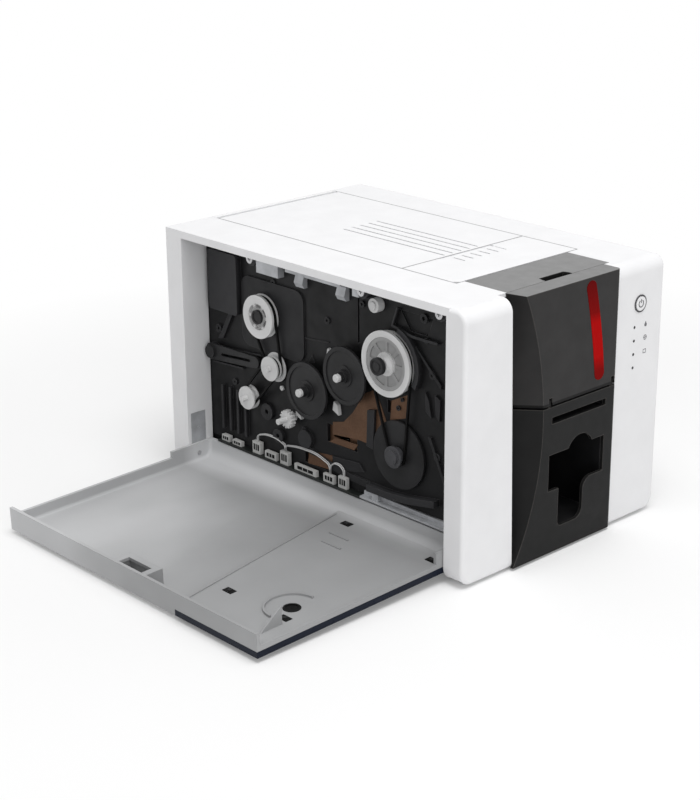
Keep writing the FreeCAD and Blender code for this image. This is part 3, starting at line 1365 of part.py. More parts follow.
def belt_outline(y1, z1, r1, y2, z2, r2):
    """Wire of an open belt: two outer tangents and the two arcs that they meet."""
    gap = math.hypot(y2 - y1, z2 - z1)
    heading = math.atan2(z2 - z1, y2 - y1)
    lean = math.acos((r1 - r2) / gap)

    def at(y, z, r, angle):
        return FreeCAD.Vector(0, y + r * math.cos(angle), z + r * math.sin(angle))

    one, two = at(y1, z1, r1, heading + lean), at(y2, z2, r2, heading + lean)
    three, four = at(y2, z2, r2, heading - lean), at(y1, z1, r1, heading - lean)
    edges = [Part.LineSegment(one, two).toShape(), Part.Arc(two, at(y2, z2, r2, heading), three).toShape(),
             Part.LineSegment(three, four).toShape(), Part.Arc(four, at(y1, z1, r1, heading + math.pi),
            one).toShape()]
    return Part.Wire(edges)


def belt(y1, z1, r1, y2, z2, r2, span):
    inner = Part.Face(belt_outline(y1, z1, r1 + belt_gap, y2, z2, r2 + belt_gap))
    outer = Part.Face(belt_outline(y1, z1, r1 + belt_gap + belt_t, y2, z2, r2 + belt_gap + belt_t))
    band = outer.cut(inner)
    band.translate(FreeCAD.Vector(span[0], 0, 0))
    return band.extrude(FreeCAD.Vector(span[1] - span[0], 0, 0))


def tensioner_arm():
    """Slotted arm clamped on its boss, with its free end beside the double pulley."""
    x0 = plate_front_x - rim_w
    end_y = double_y + double_r + belt_t * 2 + rim_w + arm_r
    end_z = arm_z + (double_z - arm_z) * 0.7
    arm = Part.Face(belt_outline(arm_y, arm_z, arm_r, end_y, end_z, arm_r * 0.7))
    arm.translate(FreeCAD.Vector(x0 - arm_t, 0, 0))
    plate = arm.extrude(FreeCAD.Vector(arm_t, 0, 0))
    slot = Part.Face(belt_outline(arm_y - arm_r * 2, arm_z, tip_r / 2, end_y + arm_r, end_z, tip_r / 2))
    slot.translate(FreeCAD.Vector(x0 - arm_t - overrun, 0, 0))
    plate = plate.cut(slot.extrude(FreeCAD.Vector(arm_t + overrun * 2, 0, 0)))
    cap = rod("x", arm_y, arm_z, arm_r * 0.8, x0 - arm_t - rim_t, x0 - arm_t)
    leg = rod("x", end_y, end_z, tip_r, x0 - arm_t, plate_front_x)
    return join([plate, cap, leg])


def guide_cams():
    """Small white cam pieces on the frame round the first drive disc."""
    made = []
    x1 = plate_front_x
    for dy, dz, l, h in cam_shares:
        y, z = disc1_y + disc_r * dy, disc1_z + disc_r * dz
        made.append(prism("x", [(y, z), (y + disc_r * l, z + disc_r * h * 0.3), (y + disc_r * l * 0.8,
                z + disc_r * h), (y + disc_r * l * 0.2, z + disc_r * h * 0.8)], x1 - rim_w, x1))
    y, z = feed_y + disc_pulley_r * 1.7, (plate_top_z + feed_z + feed_r) / 2
    made.append(join([rod("x", y, z, rim_w * 1.7, x1 - rim_w * 2, x1), rod("x", y, z, rim_w,
            x1 - rim_w * 2.4, x1)]))
    return group(made)


def power_button():
    y0 = -half_d - button_proud
    cap = rod("y", button_x, button_z, button_r, y0, y0 + button_len)
    flange = rod("y", button_x, button_z, button_flange_r, -half_d + wall, -half_d + wall + button_flange_t)
    return join([cap, flange])


def button_ring():
    ring = rod("y", button_x, button_z, button_r + button_gap + button_ring_w, -half_d - button_ring_t,
               -half_d)
    return ring.cut(rod("y", button_x, button_z, button_r + button_gap, -half_d - overrun, -half_d + overrun))


def status_lamps():
    return group([rod("y", x, z, lamp_r - touch, -half_d - touch, control_board_y) for x, z in lamp_places()])


def control_board():
    y = control_board_y
    low = lamp_top_z - lamp_pitch * lamp_count
    board = block(lamp_x - lamp_pitch / 2, lamp_x + control_board_w - lamp_pitch, y, y + control_board_t,
                  low, low + control_board_h)
    legs = [block(lamp_x - lamp_pitch / 2, lamp_x + control_board_w - lamp_pitch, -half_d + wall, y, z,
                  z + rim_t) for z in (low, low + control_board_h - rim_t)]
    switch = block(button_x - button_r / 2, button_x + button_r / 2, y - button_travel * 0.6, y, button_z
                   - button_r / 2, button_z + button_r / 2)
    return join([board, switch] + legs)


pieces = {"left_cover": left_cover, "right_cover": right_cover, "rear_panel": rear_panel,
          "rear_sockets": sockets, "base_tray": base_tray, "feet": feet,
          "lower_front_cover": lower_front_cover, "output_box": output_box, "card_guide": card_guide,
          "feeder_box": feeder_box, "front_frame": front_frame, "feeder_door": feeder_door,
          "feeder_door_pins": feeder_door_pins, "level_window": level_window,
          "black_top_panel": black_top_panel, "top_front_piece": top_front_piece, "top_lid": top_lid,
          "lid_pin": lid_pin, "print_head": print_head, "side_door": side_door,
          "side_door_trim": side_door_trim, "hinge_pins": hinge_pins, "hinge_plate": hinge_plate,
          "left_chassis_plate": left_chassis_plate, "copper_plate": copper_plate,
          "right_chassis_plate": right_chassis_plate, "cross_bars": cross_bars,
          "circuit_board": circuit_board, "connectors": connectors, "leads": leads,
          "sill_bracket": sill_bracket, "top_brackets": top_brackets, "frame_screws": frame_screws,
          "supply_pulley": supply_pulley, "supply_hub": supply_hub, "double_pulley": double_pulley,
          "lower_pulley": lower_pulley, "motor_gear": motor_gear, "drive_motor": drive_motor,
          "first_disc": lambda: drive_disc(disc1_y, disc1_z, shaft_end_x),
          "second_disc": lambda: drive_disc(disc2_y, disc2_z, shaft_end_x),
          "first_shaft": lambda: shaft_end_cap(disc1_y, disc1_z),
          "second_shaft": lambda: shaft_end_cap(disc2_y, disc2_z), "supply_spindle": lambda: drum(supply_y,
        supply_z), "take_up_spindle": lambda: drum(disc2_y, disc2_z), "platen_roller": platen_roller,
        "feed_pulley": feed_pulley, "feed_hub": feed_hub, "clutch_pulley": clutch_pulley,
        "clutch_disc": clutch_disc, "supply_belt": lambda: belt(supply_y, supply_z, supply_groove_r,
        double_y, double_z, double_groove_r, belt1_x), "lower_belt": lambda: belt(double_y, double_z,
        double_groove_r, lower_y, lower_z, lower_groove_r, belt2_x), "feed_belt": lambda: belt(feed_y,
        feed_z, feed_groove_r, clutch_y, clutch_z, clutch_groove_r, belt1_x),
        "disc_belt": lambda: belt(disc1_y, disc1_z, disc_pulley_r, disc2_y, disc2_z, disc_pulley_r, belt1_x),
        "tensioner_arm": tensioner_arm, "guide_cams": guide_cams, "power_button": power_button,
        "button_ring": button_ring, "status_lamps": status_lamps, "control_board": control_board,}

os.makedirs("parts", exist_ok=True)
for name, make in pieces.items():
    shape = make()
    print(name, len(shape.Solids), "solids", round(shape.Volume, 1), "valid", shape.isValid())
    shape.exportStep("parts/" + name + ".step")
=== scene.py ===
import json
import math
from collections import namedtuple

import bmesh
import bpy
from mathutils import Matrix, Vector


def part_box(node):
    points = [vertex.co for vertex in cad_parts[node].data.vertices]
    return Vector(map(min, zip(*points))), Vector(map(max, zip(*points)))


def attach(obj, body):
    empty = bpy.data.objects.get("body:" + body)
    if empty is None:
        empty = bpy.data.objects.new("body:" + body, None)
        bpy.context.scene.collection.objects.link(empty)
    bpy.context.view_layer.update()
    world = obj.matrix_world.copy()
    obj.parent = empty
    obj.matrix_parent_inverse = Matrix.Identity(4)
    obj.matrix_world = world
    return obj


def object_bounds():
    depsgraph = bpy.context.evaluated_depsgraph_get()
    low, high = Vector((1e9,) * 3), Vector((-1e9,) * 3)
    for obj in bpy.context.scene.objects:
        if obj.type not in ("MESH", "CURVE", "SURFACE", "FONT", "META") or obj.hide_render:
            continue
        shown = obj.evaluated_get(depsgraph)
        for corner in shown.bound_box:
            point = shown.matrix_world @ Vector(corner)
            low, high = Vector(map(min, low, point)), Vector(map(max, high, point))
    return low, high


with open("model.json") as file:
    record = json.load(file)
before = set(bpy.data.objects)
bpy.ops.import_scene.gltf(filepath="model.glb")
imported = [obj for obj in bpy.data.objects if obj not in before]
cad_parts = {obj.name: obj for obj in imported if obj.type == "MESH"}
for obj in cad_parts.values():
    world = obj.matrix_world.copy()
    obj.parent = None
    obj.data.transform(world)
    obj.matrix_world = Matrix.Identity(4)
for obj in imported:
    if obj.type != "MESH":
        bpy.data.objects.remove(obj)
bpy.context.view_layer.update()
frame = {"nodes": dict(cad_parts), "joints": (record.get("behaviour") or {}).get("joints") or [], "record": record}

MM = 0.001

# Camera: place in metres, lens and sensor in millimetres
EYE = Vector((-0.8913, -0.8914, 0.5246))
RIGHT = Vector((0.7291, -0.6843, -0.0068))
UP = Vector((0.2373, 0.2436, 0.9404))
LENS = 80.1
SENSOR = 36.0

# Light: place, target and side of each square lamp in metres, power in watts
Lamp = namedtuple("Lamp", "place target side power")
LAMPS = {
    "key": Lamp((-0.3, -0.6, 2.4), (0.0, 0.0, 0.1), 1.5, 41.0),
    "fill": Lamp((-1.0, -2.0, 0.9), (0.0, 0.0, 0.1), 1.0, 8.0),
}
WORLD_LIGHT = 0.50
WHITE_LIGHT = (1, 1, 1, 1)

# Textures: size in mm, or in grains of the surface that has them, and detail
Texture = namedtuple("Texture", "size detail")
GRAIN = Texture(1, 3)
FLOW = Texture(45, 2)
STAINS = Texture(38, 4)
GLOSS = Texture(16, 5)
RING_STAINS = Texture(30, 4)
METAL_LINES = Texture(1, 2)
METAL_STAINS = Texture(30, 5)
FRAME_STAINS = Texture(34, 4)
FRAME_GLOSS = Texture(9, 5)
DOOR_STAINS = Texture(95, 2)
DOOR_GLOSS = Texture(22, 5)
RUBBER_GRAIN = Texture(0.5, 3)
RUBBER_STAINS = Texture(6, 5)
RUBBER_GLOSS = Texture(2, 4)
WINDOW_GRAIN = Texture(1.2, 3)
WINDOW_GLOSS = Texture(8, 4)
FLOOR_STAINS = Texture(400, 2)

# Middle of a texture's values, and how far the roughness wanders over it, as shares of its named value
NOISE_SPAN = (0.30, 0.70)
GLOSS_SHARES = (0.86, 1.16)
METAL_GLOSS_SHARES = (0.70, 1.40)
FRAME_GLOSS_SHARES = (0.75, 1.25)
DOOR_GLOSS_SHARES = (0.80, 1.20)
RUBBER_GLOSS_SHARES = (0.85, 1.10)
WINDOW_GLOSS_SHARES = (1.0, 2.0)

# Relief in mm: depth of the grain, of flow marks and of fine lines
GRAIN_DEPTH = 0.08
FLOW_DEPTH = 0.25
LINE_DEPTH = 0.05
# Strength of the flow marks as a share of the grain's
FLOW_SHARE = 0.5
# Softly broken edges: radius in mm, and how finely they are worked out
EDGE_R = 0.45
FRAME_EDGE_R = 0.4
DOOR_EDGE_R = 0.6
EDGE_SAMPLES = 4

# Finish of plastics: colour, roughness, grain in mm, bump of the grain, how much the colour varies, shine
Finish = namedtuple("Finish", "colour rough grain bump vary shine")
FINISHES = {
    "white_shell": Finish((0.78, 0.78, 0.79), 0.40, 0.55, 0.05, 0.02, 0.30),
    "dark_trim": Finish((0.005, 0.008, 0.018), 0.30, 0.5, 0.03, 0.15, 0.12),
    "wheel_white": Finish((0.62, 0.62, 0.62), 0.42, 0.7, 0.08, 0.06, 0.30),
    "wheel_grey": Finish((0.45, 0.453, 0.457), 0.38, 0.7, 0.08, 0.08, 0.30),
    "wheel_black": Finish((0.020, 0.020, 0.021), 0.42, 0.6, 0.10, 0.25, 0.20),
    "board_green": Finish((0.012, 0.014, 0.013), 0.45, 1.2, 0.12, 0.40, 0.30),
    "connector_white": Finish((0.50, 0.50, 0.49), 0.45, 0.6, 0.08, 0.12, 0.30),
    "lead_white": Finish((0.55, 0.55, 0.55), 0.45, 0.5, 0.05, 0.08, 0.30),
    "ring_grey": Finish((0.060, 0.060, 0.065), 0.30, 0.5, 0.04, 0.10, 0.30),
    "lamp_dark": Finish((0.03, 0.03, 0.034), 0.18, 0.4, 0.02, 0.10, 0.30),
    # The grey of gaps is painted shade for the seams of the top and the bottoms of the grooves
    "gap_grey": Finish((0.06, 0.06, 0.065), 0.60, 0.5, 0.02, 0.10, 0.30),
    "mark_grey": Finish((0.13, 0.13, 0.14), 0.50, 0.5, 0.02, 0.10, 0.30),
}
DOOR_INNER = Finish((0.33, 0.333, 0.338), 0.42, 0.9, 0.06, 0.50, 0.30)
FRAME_BLACK = Finish((0.015, 0.015, 0.016), 0.45, 0.7, 0.16, 0.50, 0.15)
UPPER_BLACK = Finish((0.026, 0.025, 0.025), 0.42, 0.45, 0.06, 0.12, 0.14)
LOWER_BLACK = Finish((0.011, 0.011, 0.011), 0.42, 0.45, 0.06, 0.12, 0.11)
PANEL_BLACK = Finish((0.014, 0.014, 0.014), 0.40, 0.6, 0.02, 0.05, 0.20)

# Finish of metals: colour, roughness, grain in mm, metallic share
Metal = namedtuple("Metal", "colour rough grain share")
METALS = {
    "steel": Metal((0.50, 0.50, 0.51), 0.30, 0.25, 0.9),
    "sheet_steel": Metal((0.46, 0.47, 0.49), 0.40, 0.35, 0.3),
    "copper": Metal((0.135, 0.075, 0.045), 0.52, 0.5, 0.8),
}
# Metals: how their lines are drawn out along X, how much the colour varies, bump of the lines
METAL_STRETCH = (0.06, 1.0, 1.0)
METAL_VARY = 0.16
METAL_BUMP = 0.12

# Finish of rubbers: colour, roughness
Rubber = namedtuple("Rubber", "colour rough")
RUBBERS = {
    "belt_rubber": Rubber((0.006, 0.006, 0.006), 0.60),
    "roller_rubber": Rubber((0.040, 0.040, 0.043), 0.70),
    "foot_rubber": Rubber((0.030, 0.030, 0.030), 0.75),
}
RUBBER_SHINE = 0.10
RUBBER_VARY = 0.35
RUBBER_BUMP = 0.25

# Seams of the top: distances in mm from a panel's edge between which the shadow line fades
SEAM_SPAN = (0.50, 0.80)
# Upward share of a face's direction: where the tones of tops fade in, and those of the open door's outside
TOP_FACING = (0.5, 0.9)
OUTSIDE_FACING = (-0.5, -0.9)

# Painted highlights along edges, shown as paler edges: tones, width in mm, and how alike a face's own and its
# rounded direction are across them
FRONT_EDGE_HIGHLIGHT = (0.085, 0.080, 0.075)
FRAME_EDGE_HIGHLIGHT = (0.050, 0.050, 0.052)
EDGE_HIGHLIGHT_R = 0.7
EDGE_HIGHLIGHT_SPAN = (0.995, 0.96)
# Black front: tones of the painted shade in the gap between the covers and of the tops painted paler as if lit
# from above, and heights of their bands in mm
GAP_SHADE = (0.002, 0.002, 0.002)
GAP_SHADE_BAND = 1.7
BAND_BLUR = GAP_SHADE_BAND / 4
TOP_LIGHT = (0.18, 0.18, 0.18)
TOP_LIGHT_BANDS = {"feeder_door": 14.0, "black_top_panel": 0.8}

# Drive's frame: tones as (place, share of the colour), and between which heights in mm it is painted paler, as
# painted light on its raised parts over a shaded floor
FRAME_TONE_SHARES = [(0.12, 0.4), (0.34, 1.0), (1.0, 2.3)]
RAISED_LIGHT_LEVELS = (0.2, 4.0)
RAISED_LIGHT_SHARE = 0.8
# Inside of the door: tones, and how much paler its rear, its outer part and the band at its hinge are painted, as
# painted light where more light falls on them
DOOR_TONE_SHARES = [(0.22, 0.82), (0.45, 1.0), (0.80, 1.75)]
REAR_LIGHT_SHARE = 0.275
OUTER_LIGHT_SHARE = 0.225
HINGE_LIGHT_SHARE = 0.45
# The painted light band's two distances in mm from the hinged edge, and how the door's stains are drawn out along
# X
HINGE_LIGHT_BAND = (30.0, 8.0)
DOOR_STRETCH = (0.5, 1.0, 1.0)

# Red window: red by share of its height, its green and blue, roughness, painted glow though it holds no lamp,
# shine and bump
WINDOW_REDS = [(0.0, 0.15), (0.10, 0.17), (0.24, 0.34), (0.58, 0.34), (0.68, 0.17), (1.0, 0.10)]
WINDOW_DEEP = 0.0015
WINDOW_ROUGH = 0.12
WINDOW_PAINTED_GLOW = 0.12
WINDOW_SHINE = 0.02
WINDOW_BUMP = 0.04

# Tones of two wheels by radius in mm from their axis, and the tone of the stains over them
WHEEL_RINGS = {
    "feed_pulley": ("wheel_grey", [(0, 0.70), (8.4, 0.66), (8.9, 0.34), (15.0, 0.30), (18.8, 0.38),
                                   (19.2, 0.68), (23.6, 0.74)]),
    "supply_pulley": ("wheel_white", [(0, 0.35), (5.0, 0.35), (8.2, 0.42), (8.7, 0.68), (16.0, 0.74)]),
}
RING_STAIN = (0.95, 0.95, 0.95)

# Floor: colour, side in metres, roughness, and its glow near the machine and over a span of metres from it
FLOOR_COLOUR = (0.86, 0.86, 0.86)
FLOOR_SIDE = 12.0
FLOOR_VARY = 0.02
FLOOR_ROUGH = 0.9
FLOOR_SHINE = 0.1
FLOOR_GLOW_NEAR = 0.15
FLOOR_GLOW_SPAN = (0.28, 0.62)

# Drive side: depth of the frame's face, and how far the pieces on it reach into it, in mm
FACE_X = -78.0
SINK = 0.1
SHEET_T = 0.35
# Copper-coloured sheets, as outlines of (Y, Z)
SHEETS = {
    "copper_mid": [(-36.4, 103), (-46.4, 108.2), (-52.7, 97.9), (-58, 87.3), (-50.8, 80.1), (-48.1, 67.2),
                   (-38.1, 65.7), (-28.8, 65.9), (-2.4, 62.7), (-2.6, 72.4), (-14, 75.5), (-23.4, 84.8)],
    "copper_front": [(-61.6, 89.6), (-63.4, 104.6), (-79.1, 112.6), (-79.2, 95.7)],
    "copper_low": [(23.1, 43.0), (-2.2, 45.9), (-0.1, 34.1), (25.3, 32.4)],
    "copper_lip": [(1.5, 56.1), (-6.2, 61), (-28.8, 61.8), (-25, 56.6)],
}
# Raised steps and ribs: outline and height over the face
RAISED = {
    "rear_panel": ([(130.1, 176), (103, 177), (103, 141.5), (133, 139.1)], 1.6),
    "rear_wedge": ([(103.1, 142.6), (100, 141.2), (118.5, 108.2), (123.8, 107.6)], 2.2),
    "upper_step": ([(52.5, 133), (52.5, 134.2), (34.7, 135.6), (34.7, 134.3)], 1.2),
    "mid_seam": ([(56.7, 126.6), (34.9, 128.1), (0.3, 131.4), (0.3, 132.4), (34.9, 129.1),
                  (56.7, 127.6)], 0.6),
    "pocket_frame": ([(-70.2, 173.6), (-65, 159.4), (-85.6, 155.5), (-109.1, 155.9), (-109.1, 157.6),
                      (-85.6, 157.4), (-66.8, 161), (-71.6, 173.6)], 3.0),
    "black_block": ([(-40.9, 92.1), (-48.2, 94), (-46.3, 63.9), (-39.9, 64.9)], 2.6),
    "low_block": ([(-2.2, 45.9), (-30.6, 48.5), (-36.1, 43.2), (-5.9, 35.8)], 1.2),
    "fin_rear": ([(32.2, 115.8), (28.3, 118.1), (28.5, 109.8), (34.3, 109.8)], 0.5),
    "fin_front": ([(18.6, 119), (15.8, 112.9), (23.6, 111)], 0.5),
    "vent_rear": ([(-97, 119.8), (-100.4, 114.3), (-103.1, 102.1), (-98, 105.9)], 2.0),
    "vent_front": ([(-106.3, 119.6), (-111.3, 117.1), (-110.7, 101.5), (-107.3, 105.8)], 2.0),
    "rib_one": ([(128.6, 98.6), (128.6, 99.8), (73.6, 105.8), (73.6, 104.5)], 2.4),
    "rib_two": ([(130.6, 86.6), (130.6, 88.0), (95.2, 90.3), (95.2, 89.0)], 2.4),
    "post_front": ([(-86, 150), (-88, 150), (-112, 128), (-112, 125)], 2.0),
    "post_low": ([(-100, 88), (-102.5, 88), (-116, 60), (-116, 56)], 2.0),
}
# Bosses: Y, Z, radius, height over the face, radius of the hole
BOSSES = {
    "boss_motor": (68.9, 61.8, 6.5, 2.5, 2.0),
    "boss_low": (56.1, 45.9, 5.4, 3.0, 2.0),
    "boss_front": (-94.8, 171.1, 3.4, 1.6, 1.5),
    "boss_step": (-97.4, 156.1, 2.2, 1.8, 0.9),
    "boss_groove": (-34.6, 168.2, 2.4, 1.6, 1.1),
    "boss_rear": (124, 115, 3.2, 1.8, 1.3),
    "boss_bay": (-103, 133, 3.0, 1.4, 1.3),
    "boss_foot": (-108, 75, 3.0, 1.4, 1.3),
    "boss_arm": (107, 76, 2.6, 1.4, 1.0),
    "boss_mid": (2, 148, 2.6, 1.0, 1.1),
    "boss_copper": (-70.5, 101, 1.9, 1.4, 0.8),
    "boss_copper_low": (-74.2, 108, 1.5, 1.4, 0.7),
    "boss_top": (60, 164, 2.6, 1.2, 1.1),
    "boss_motor_front": (27.8, 58.0, 2.6, 1.6, 1.1),
}
# Screws: Y, Z, and the sizes of the head and its socket
SCREWS = {
    "screw_rear": (112.0, 168.0),
    "screw_bay": (-117.0, 168.0),
    "screw_low": (112.0, 62.0),
    "screw_front": (-118.0, 92.0),
}
SCREW_R = 2.0
SCREW_T = 1.2
SOCKET_R = 0.9
SOCKET_PIN_R = 0.05
SOCKET_PROUD = 0.06
# White post: Y, Z, radius, height
GUIDE_POST = (52.4, 84.5, 1.9, 1.3)
# Drum behind the feed wheel: radius, radius of its bore, height, and in degrees its start and span
DRUM = (28.6, 24.6, 4.5, 108.0, 100.0)

# Connectors: margins of the dark mouth, a sheet of painted shade for the opening, as shares of the face, the posts
# in it, and their depths
MOUTH_SIDE_SHARE = 0.14
MOUTH_LOW_SHARE = 0.28
MOUTH_HIGH_SHARE = 0.20
POST_COUNT = 2
POST_HALF_W = 0.3
MOUTH_SINK = 0.05
MOUTH_PROUD = 0.06
POST_PROUD = 0.12

# Front: depths of its printed marks, the power symbol, and pictograms in (X, Z)
PRINT_SINK = 0.05
PRINT_PROUD = 0.04
SYMBOL_R = 2.9
SYMBOL_INNER_R = 2.1
SYMBOL_START = 120.0
SYMBOL_SPAN = 300.0
SYMBOL_BAR_HALF_W = 0.4
SYMBOL_BAR_SPAN = (0.4, 3.3)
MARK_DROP = [(83.4, 147.6), (84.9, 144.9), (84.3, 143.5), (82.5, 143.5), (81.9, 144.9)]
# Bars of the pictograms: X and Z of two opposite corners
MARK_BARS = {
    "mark_bar": (81.6, 135.2, 85.2, 135.7),
    "mark_post": (83.15, 133.5, 83.65, 137.4),
    "mark_box": (81.7, 123.6, 85.1, 124.1),
    "mark_lid": (81.7, 126.2, 85.1, 126.7),
    "mark_side": (81.7, 123.6, 82.2, 126.7),
    "mark_back": (84.6, 123.6, 85.1, 126.7),
}
MARK_WHEEL = (83.4, 135.4)
MARK_WHEEL_R = 1.9
MARK_WHEEL_INNER_R = 1.5

# Grooves in the top: X of the first, places in Y, and depths under the top of their dark sheets of painted shade
GROOVE_X = -12.0
GROOVE_PITCH = 8.6
GROOVE_COUNT = 5
GROOVE_HALF_W = 0.55
GROOVE_SPAN = (-48.3, 55.8)
STUB_SPAN = (-68.3, -52.6)
GROOVE_DEPTHS = (1.25, 0.9)
# Finger recess: X span, how far in front of the lid it lies, and depths under the top
GRIP_SPAN = (-20.4, 31.4)
GRIP_AHEAD = (3.6, 0.4)
GRIP_DEPTHS = (1.15, 0.35)

# Side door: its pin in mm, the degrees from open to closed, and X of the closed door's outer face
DOOR_HINGE = next(joint for joint in frame["joints"] if joint["name"] == "side_door_hinge")
PIN_X = DOOR_HINGE["pos_m"][0] / MM
PIN_Z = DOOR_HINGE["pos_m"][2] / MM
DOOR_OPEN = DOOR_HINGE["range_deg"][1]
DOOR_FACE_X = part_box("left_cover")[0].x / MM
# Places as (Y, Z) on the closed door, half sizes, and depths in from its outer face
CLIPS = [(-63.5, 147.4), (-43.5, 23.0), (-118.8, 147.4), (-127.8, 23.0)]
CLIP_HALF = (4.2, 2.6)
CLIP_DEPTHS = (4.6, 7.3)
TONGUE_HALF = (1.4, 1.2)
TONGUE_DEPTHS = (7.2, 7.9)
DOOR_HOLE = (-111.5, 135.0)
PLUG_R = 6.1
PLUG_BORE_R = 0.3
PLUG_DEPTHS = (4.6, 6.6)
RIM_INNER_R = 4.6
RIM_DEPTHS = (6.5, 7.3)
DOOR_LINE = [(-54.6, 183), (-53.4, 183), (-25.2, 17), (-26.4, 17)]
DOOR_LINE_DEPTHS = (6.8, 7.8)

# Corners closer than this, in mm, are one corner
MERGE = 0.01
# Roundness: degrees in a step of a ring, the least number of steps, and the sides of a disc
RING_STEP = 12.0
RING_STEPS_MIN = 8
FULL_TURN = 360.0
DISC_SIDES = 24


class Tree:
    """Short way to add and join the nodes of one tree."""

    def __init__(self, tree):
        self.tree = tree

    def add(self, kind, **settings):
        node = self.tree.nodes.new(kind)
        for key, value in settings.items():
            setattr(node, key, value)
        return node

    def feed(self, entry, source):
        """Join a socket to an entry, or give the entry a plain value."""
        if isinstance(source, bpy.types.NodeSocket):
            self.tree.links.new(source, entry)
        else:
            entry.default_value = source

    def maths(self, operation, *sources):
        node = self.add("ShaderNodeMath", operation=operation)
        for entry, source in zip(node.inputs, sources):
            self.feed(entry, source)
        return node.outputs["Value"]

    def vector(self, operation, result, *sources):
        node = self.add("ShaderNodeVectorMath", operation=operation)
        for entry, source in zip(node.inputs, sources):
            self.feed(entry, source)
        return node.outputs[result]

    def level(self, source, start, end, low=0.0, high=1.0):
        """From low to high while the source goes from start to end, and no further."""
        node = self.add("ShaderNodeMapRange")
        self.feed(node.inputs["Value"], source)
        self.feed(node.inputs["From Min"], start)
        self.feed(node.inputs["From Max"], end)
        self.feed(node.inputs["To Min"], low)
        self.feed(node.inputs["To Max"], high)
        return node.outputs["Result"]

    def blend(self, factor, base, other, **settings):
        """The base colour at 0, and the other at 1."""
        node = self.add("ShaderNodeMix", data_type="RGBA", **settings)
        self.feed(node.inputs["Factor"], factor)
        self.feed(node.inputs["A"], base)
        self.feed(node.inputs["B"], other)
        return node.outputs["Result"]

    def seen_directly(self):
        """1 for camera, mirror and glass rays, so that they meet a white surround."""
        path = self.add("ShaderNodeLightPath")
        total = path.outputs["Is Camera Ray"]
        for ray in ("Is Glossy Ray", "Is Transmission Ray"):
            total = self.maths("MAXIMUM", total, path.outputs[ray])
        return total


class Surface(Tree):
    """One material, in the object's own coordinates."""

    def __init__(self, name):
        self.material = bpy.data.materials.new(name)
        self.material.use_nodes = True
        super().__init__(self.material.node_tree)
        self.shader = self.tree.nodes["Principled BSDF"]
        self.coords = self.add("ShaderNodeTexCoord")

    def set(self, name, source):
        self.feed(self.shader.inputs[name], source)

    def noise(self, texture, unit=1.0, place=None):
        node = self.add("ShaderNodeTexNoise")
        self.feed(node.inputs["Scale"], 1 / (texture.size * unit * MM))
        self.feed(node.inputs["Detail"], texture.detail)
        self.feed(node.inputs["Vector"], place or self.coords.outputs["Object"])
        return node.outputs["Fac"]

    def stretched(self, shares):
        node = self.add("ShaderNodeMapping")
        self.feed(node.inputs["Scale"], shares)
        self.feed(node.inputs["Vector"], self.coords.outputs["Object"])
        return node.outputs["Vector"]

    def along(self, axis, source="Object"):
        """One coordinate of the place, or of the face's direction where the source is Normal."""
        node = self.add("ShaderNodeSeparateXYZ")
        self.feed(node.inputs["Vector"], self.coords.outputs[source])
        return node.outputs[axis]

    def facing_up(self, start, end):
        return self.level(self.along("Z", "Normal"), start, end)

    def ramp(self, factor, stops):
        node = self.add("ShaderNodeValToRGB")
        band = node.color_ramp
        while len(band.elements) < len(stops):
            band.elements.new(1.0)
        for element, (place, colour) in zip(band.elements, stops):
            element.position = place
            element.color = opaque(colour)
        self.feed(node.inputs["Fac"], factor)
        return node.outputs["Color"]

    def stained(self, finish):
        return self.ramp(self.noise(STAINS, finish.grain), tones(finish.colour, finish.vary))

    def roughen(self, rough, patches, shares):
        """Roughness that wanders between two shares of one value."""
        low, high = shares
        self.set("Roughness", self.level(patches, *NOISE_SPAN, rough * low, rough * high))

    def gloss(self, finish):
        """The shine of a moulded finish, and its uneven roughness."""
        self.set("Specular IOR Level", finish.shine)
        self.roughen(finish.rough, self.noise(GLOSS, finish.grain), GLOSS_SHARES)

    def bump(self, height, strength, depth_mm, under=None):
        node = self.add("ShaderNodeBump")
        self.feed(node.inputs["Strength"], strength)
        self.feed(node.inputs["Distance"], depth_mm * MM)
        self.feed(node.inputs["Height"], height)
        if under:
            self.feed(node.inputs["Normal"], under)
        return node.outputs["Normal"]

    def soft_edges(self, radius_mm):
        node = self.add("ShaderNodeBevel", samples=EDGE_SAMPLES)
        self.feed(node.inputs["Radius"], radius_mm * MM)
        return node.outputs["Normal"]

    def grained(self, finish, under=None):
        return self.bump(self.noise(GRAIN, finish.grain), finish.bump, GRAIN_DEPTH, under)

    def highlit_edges(self, base, pale):
        """The base colour with a painted highlight: paler along the edges."""
        true = self.add("ShaderNodeNewGeometry").outputs["Normal"]
        alike = self.vector("DOT_PRODUCT", "Value", self.soft_edges(EDGE_HIGHLIGHT_R), true)
        return self.blend(self.level(alike, *EDGE_HIGHLIGHT_SPAN), base, opaque(pale))


def opaque(colour):
    return (*colour, 1)


def scaled(colour, share):
    return tuple(min(1.0, c * share) for c in colour)


def tones(colour, vary):
    """The colour from darker to paler, over the middle of a texture's values."""
    start, end = NOISE_SPAN
    return [(start, scaled(colour, 1 - vary)), (end, scaled(colour, 1 + vary))]


def middle(node):
    """Middle of a node's box, in metres."""
    low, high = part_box(node)
    return (low + high) / 2


def moulded(name, finish):
    """Moulded plastic: fine grain, faint flow marks, uneven gloss and softly broken edges."""
    n = Surface(name)
    n.set("Base Color", n.stained(finish))
    n.gloss(finish)
    fine = n.grained(finish, n.soft_edges(EDGE_R))
    n.set("Normal", n.bump(n.noise(FLOW, finish.grain), finish.bump * FLOW_SHARE, FLOW_DEPTH, fine))
    return n.material


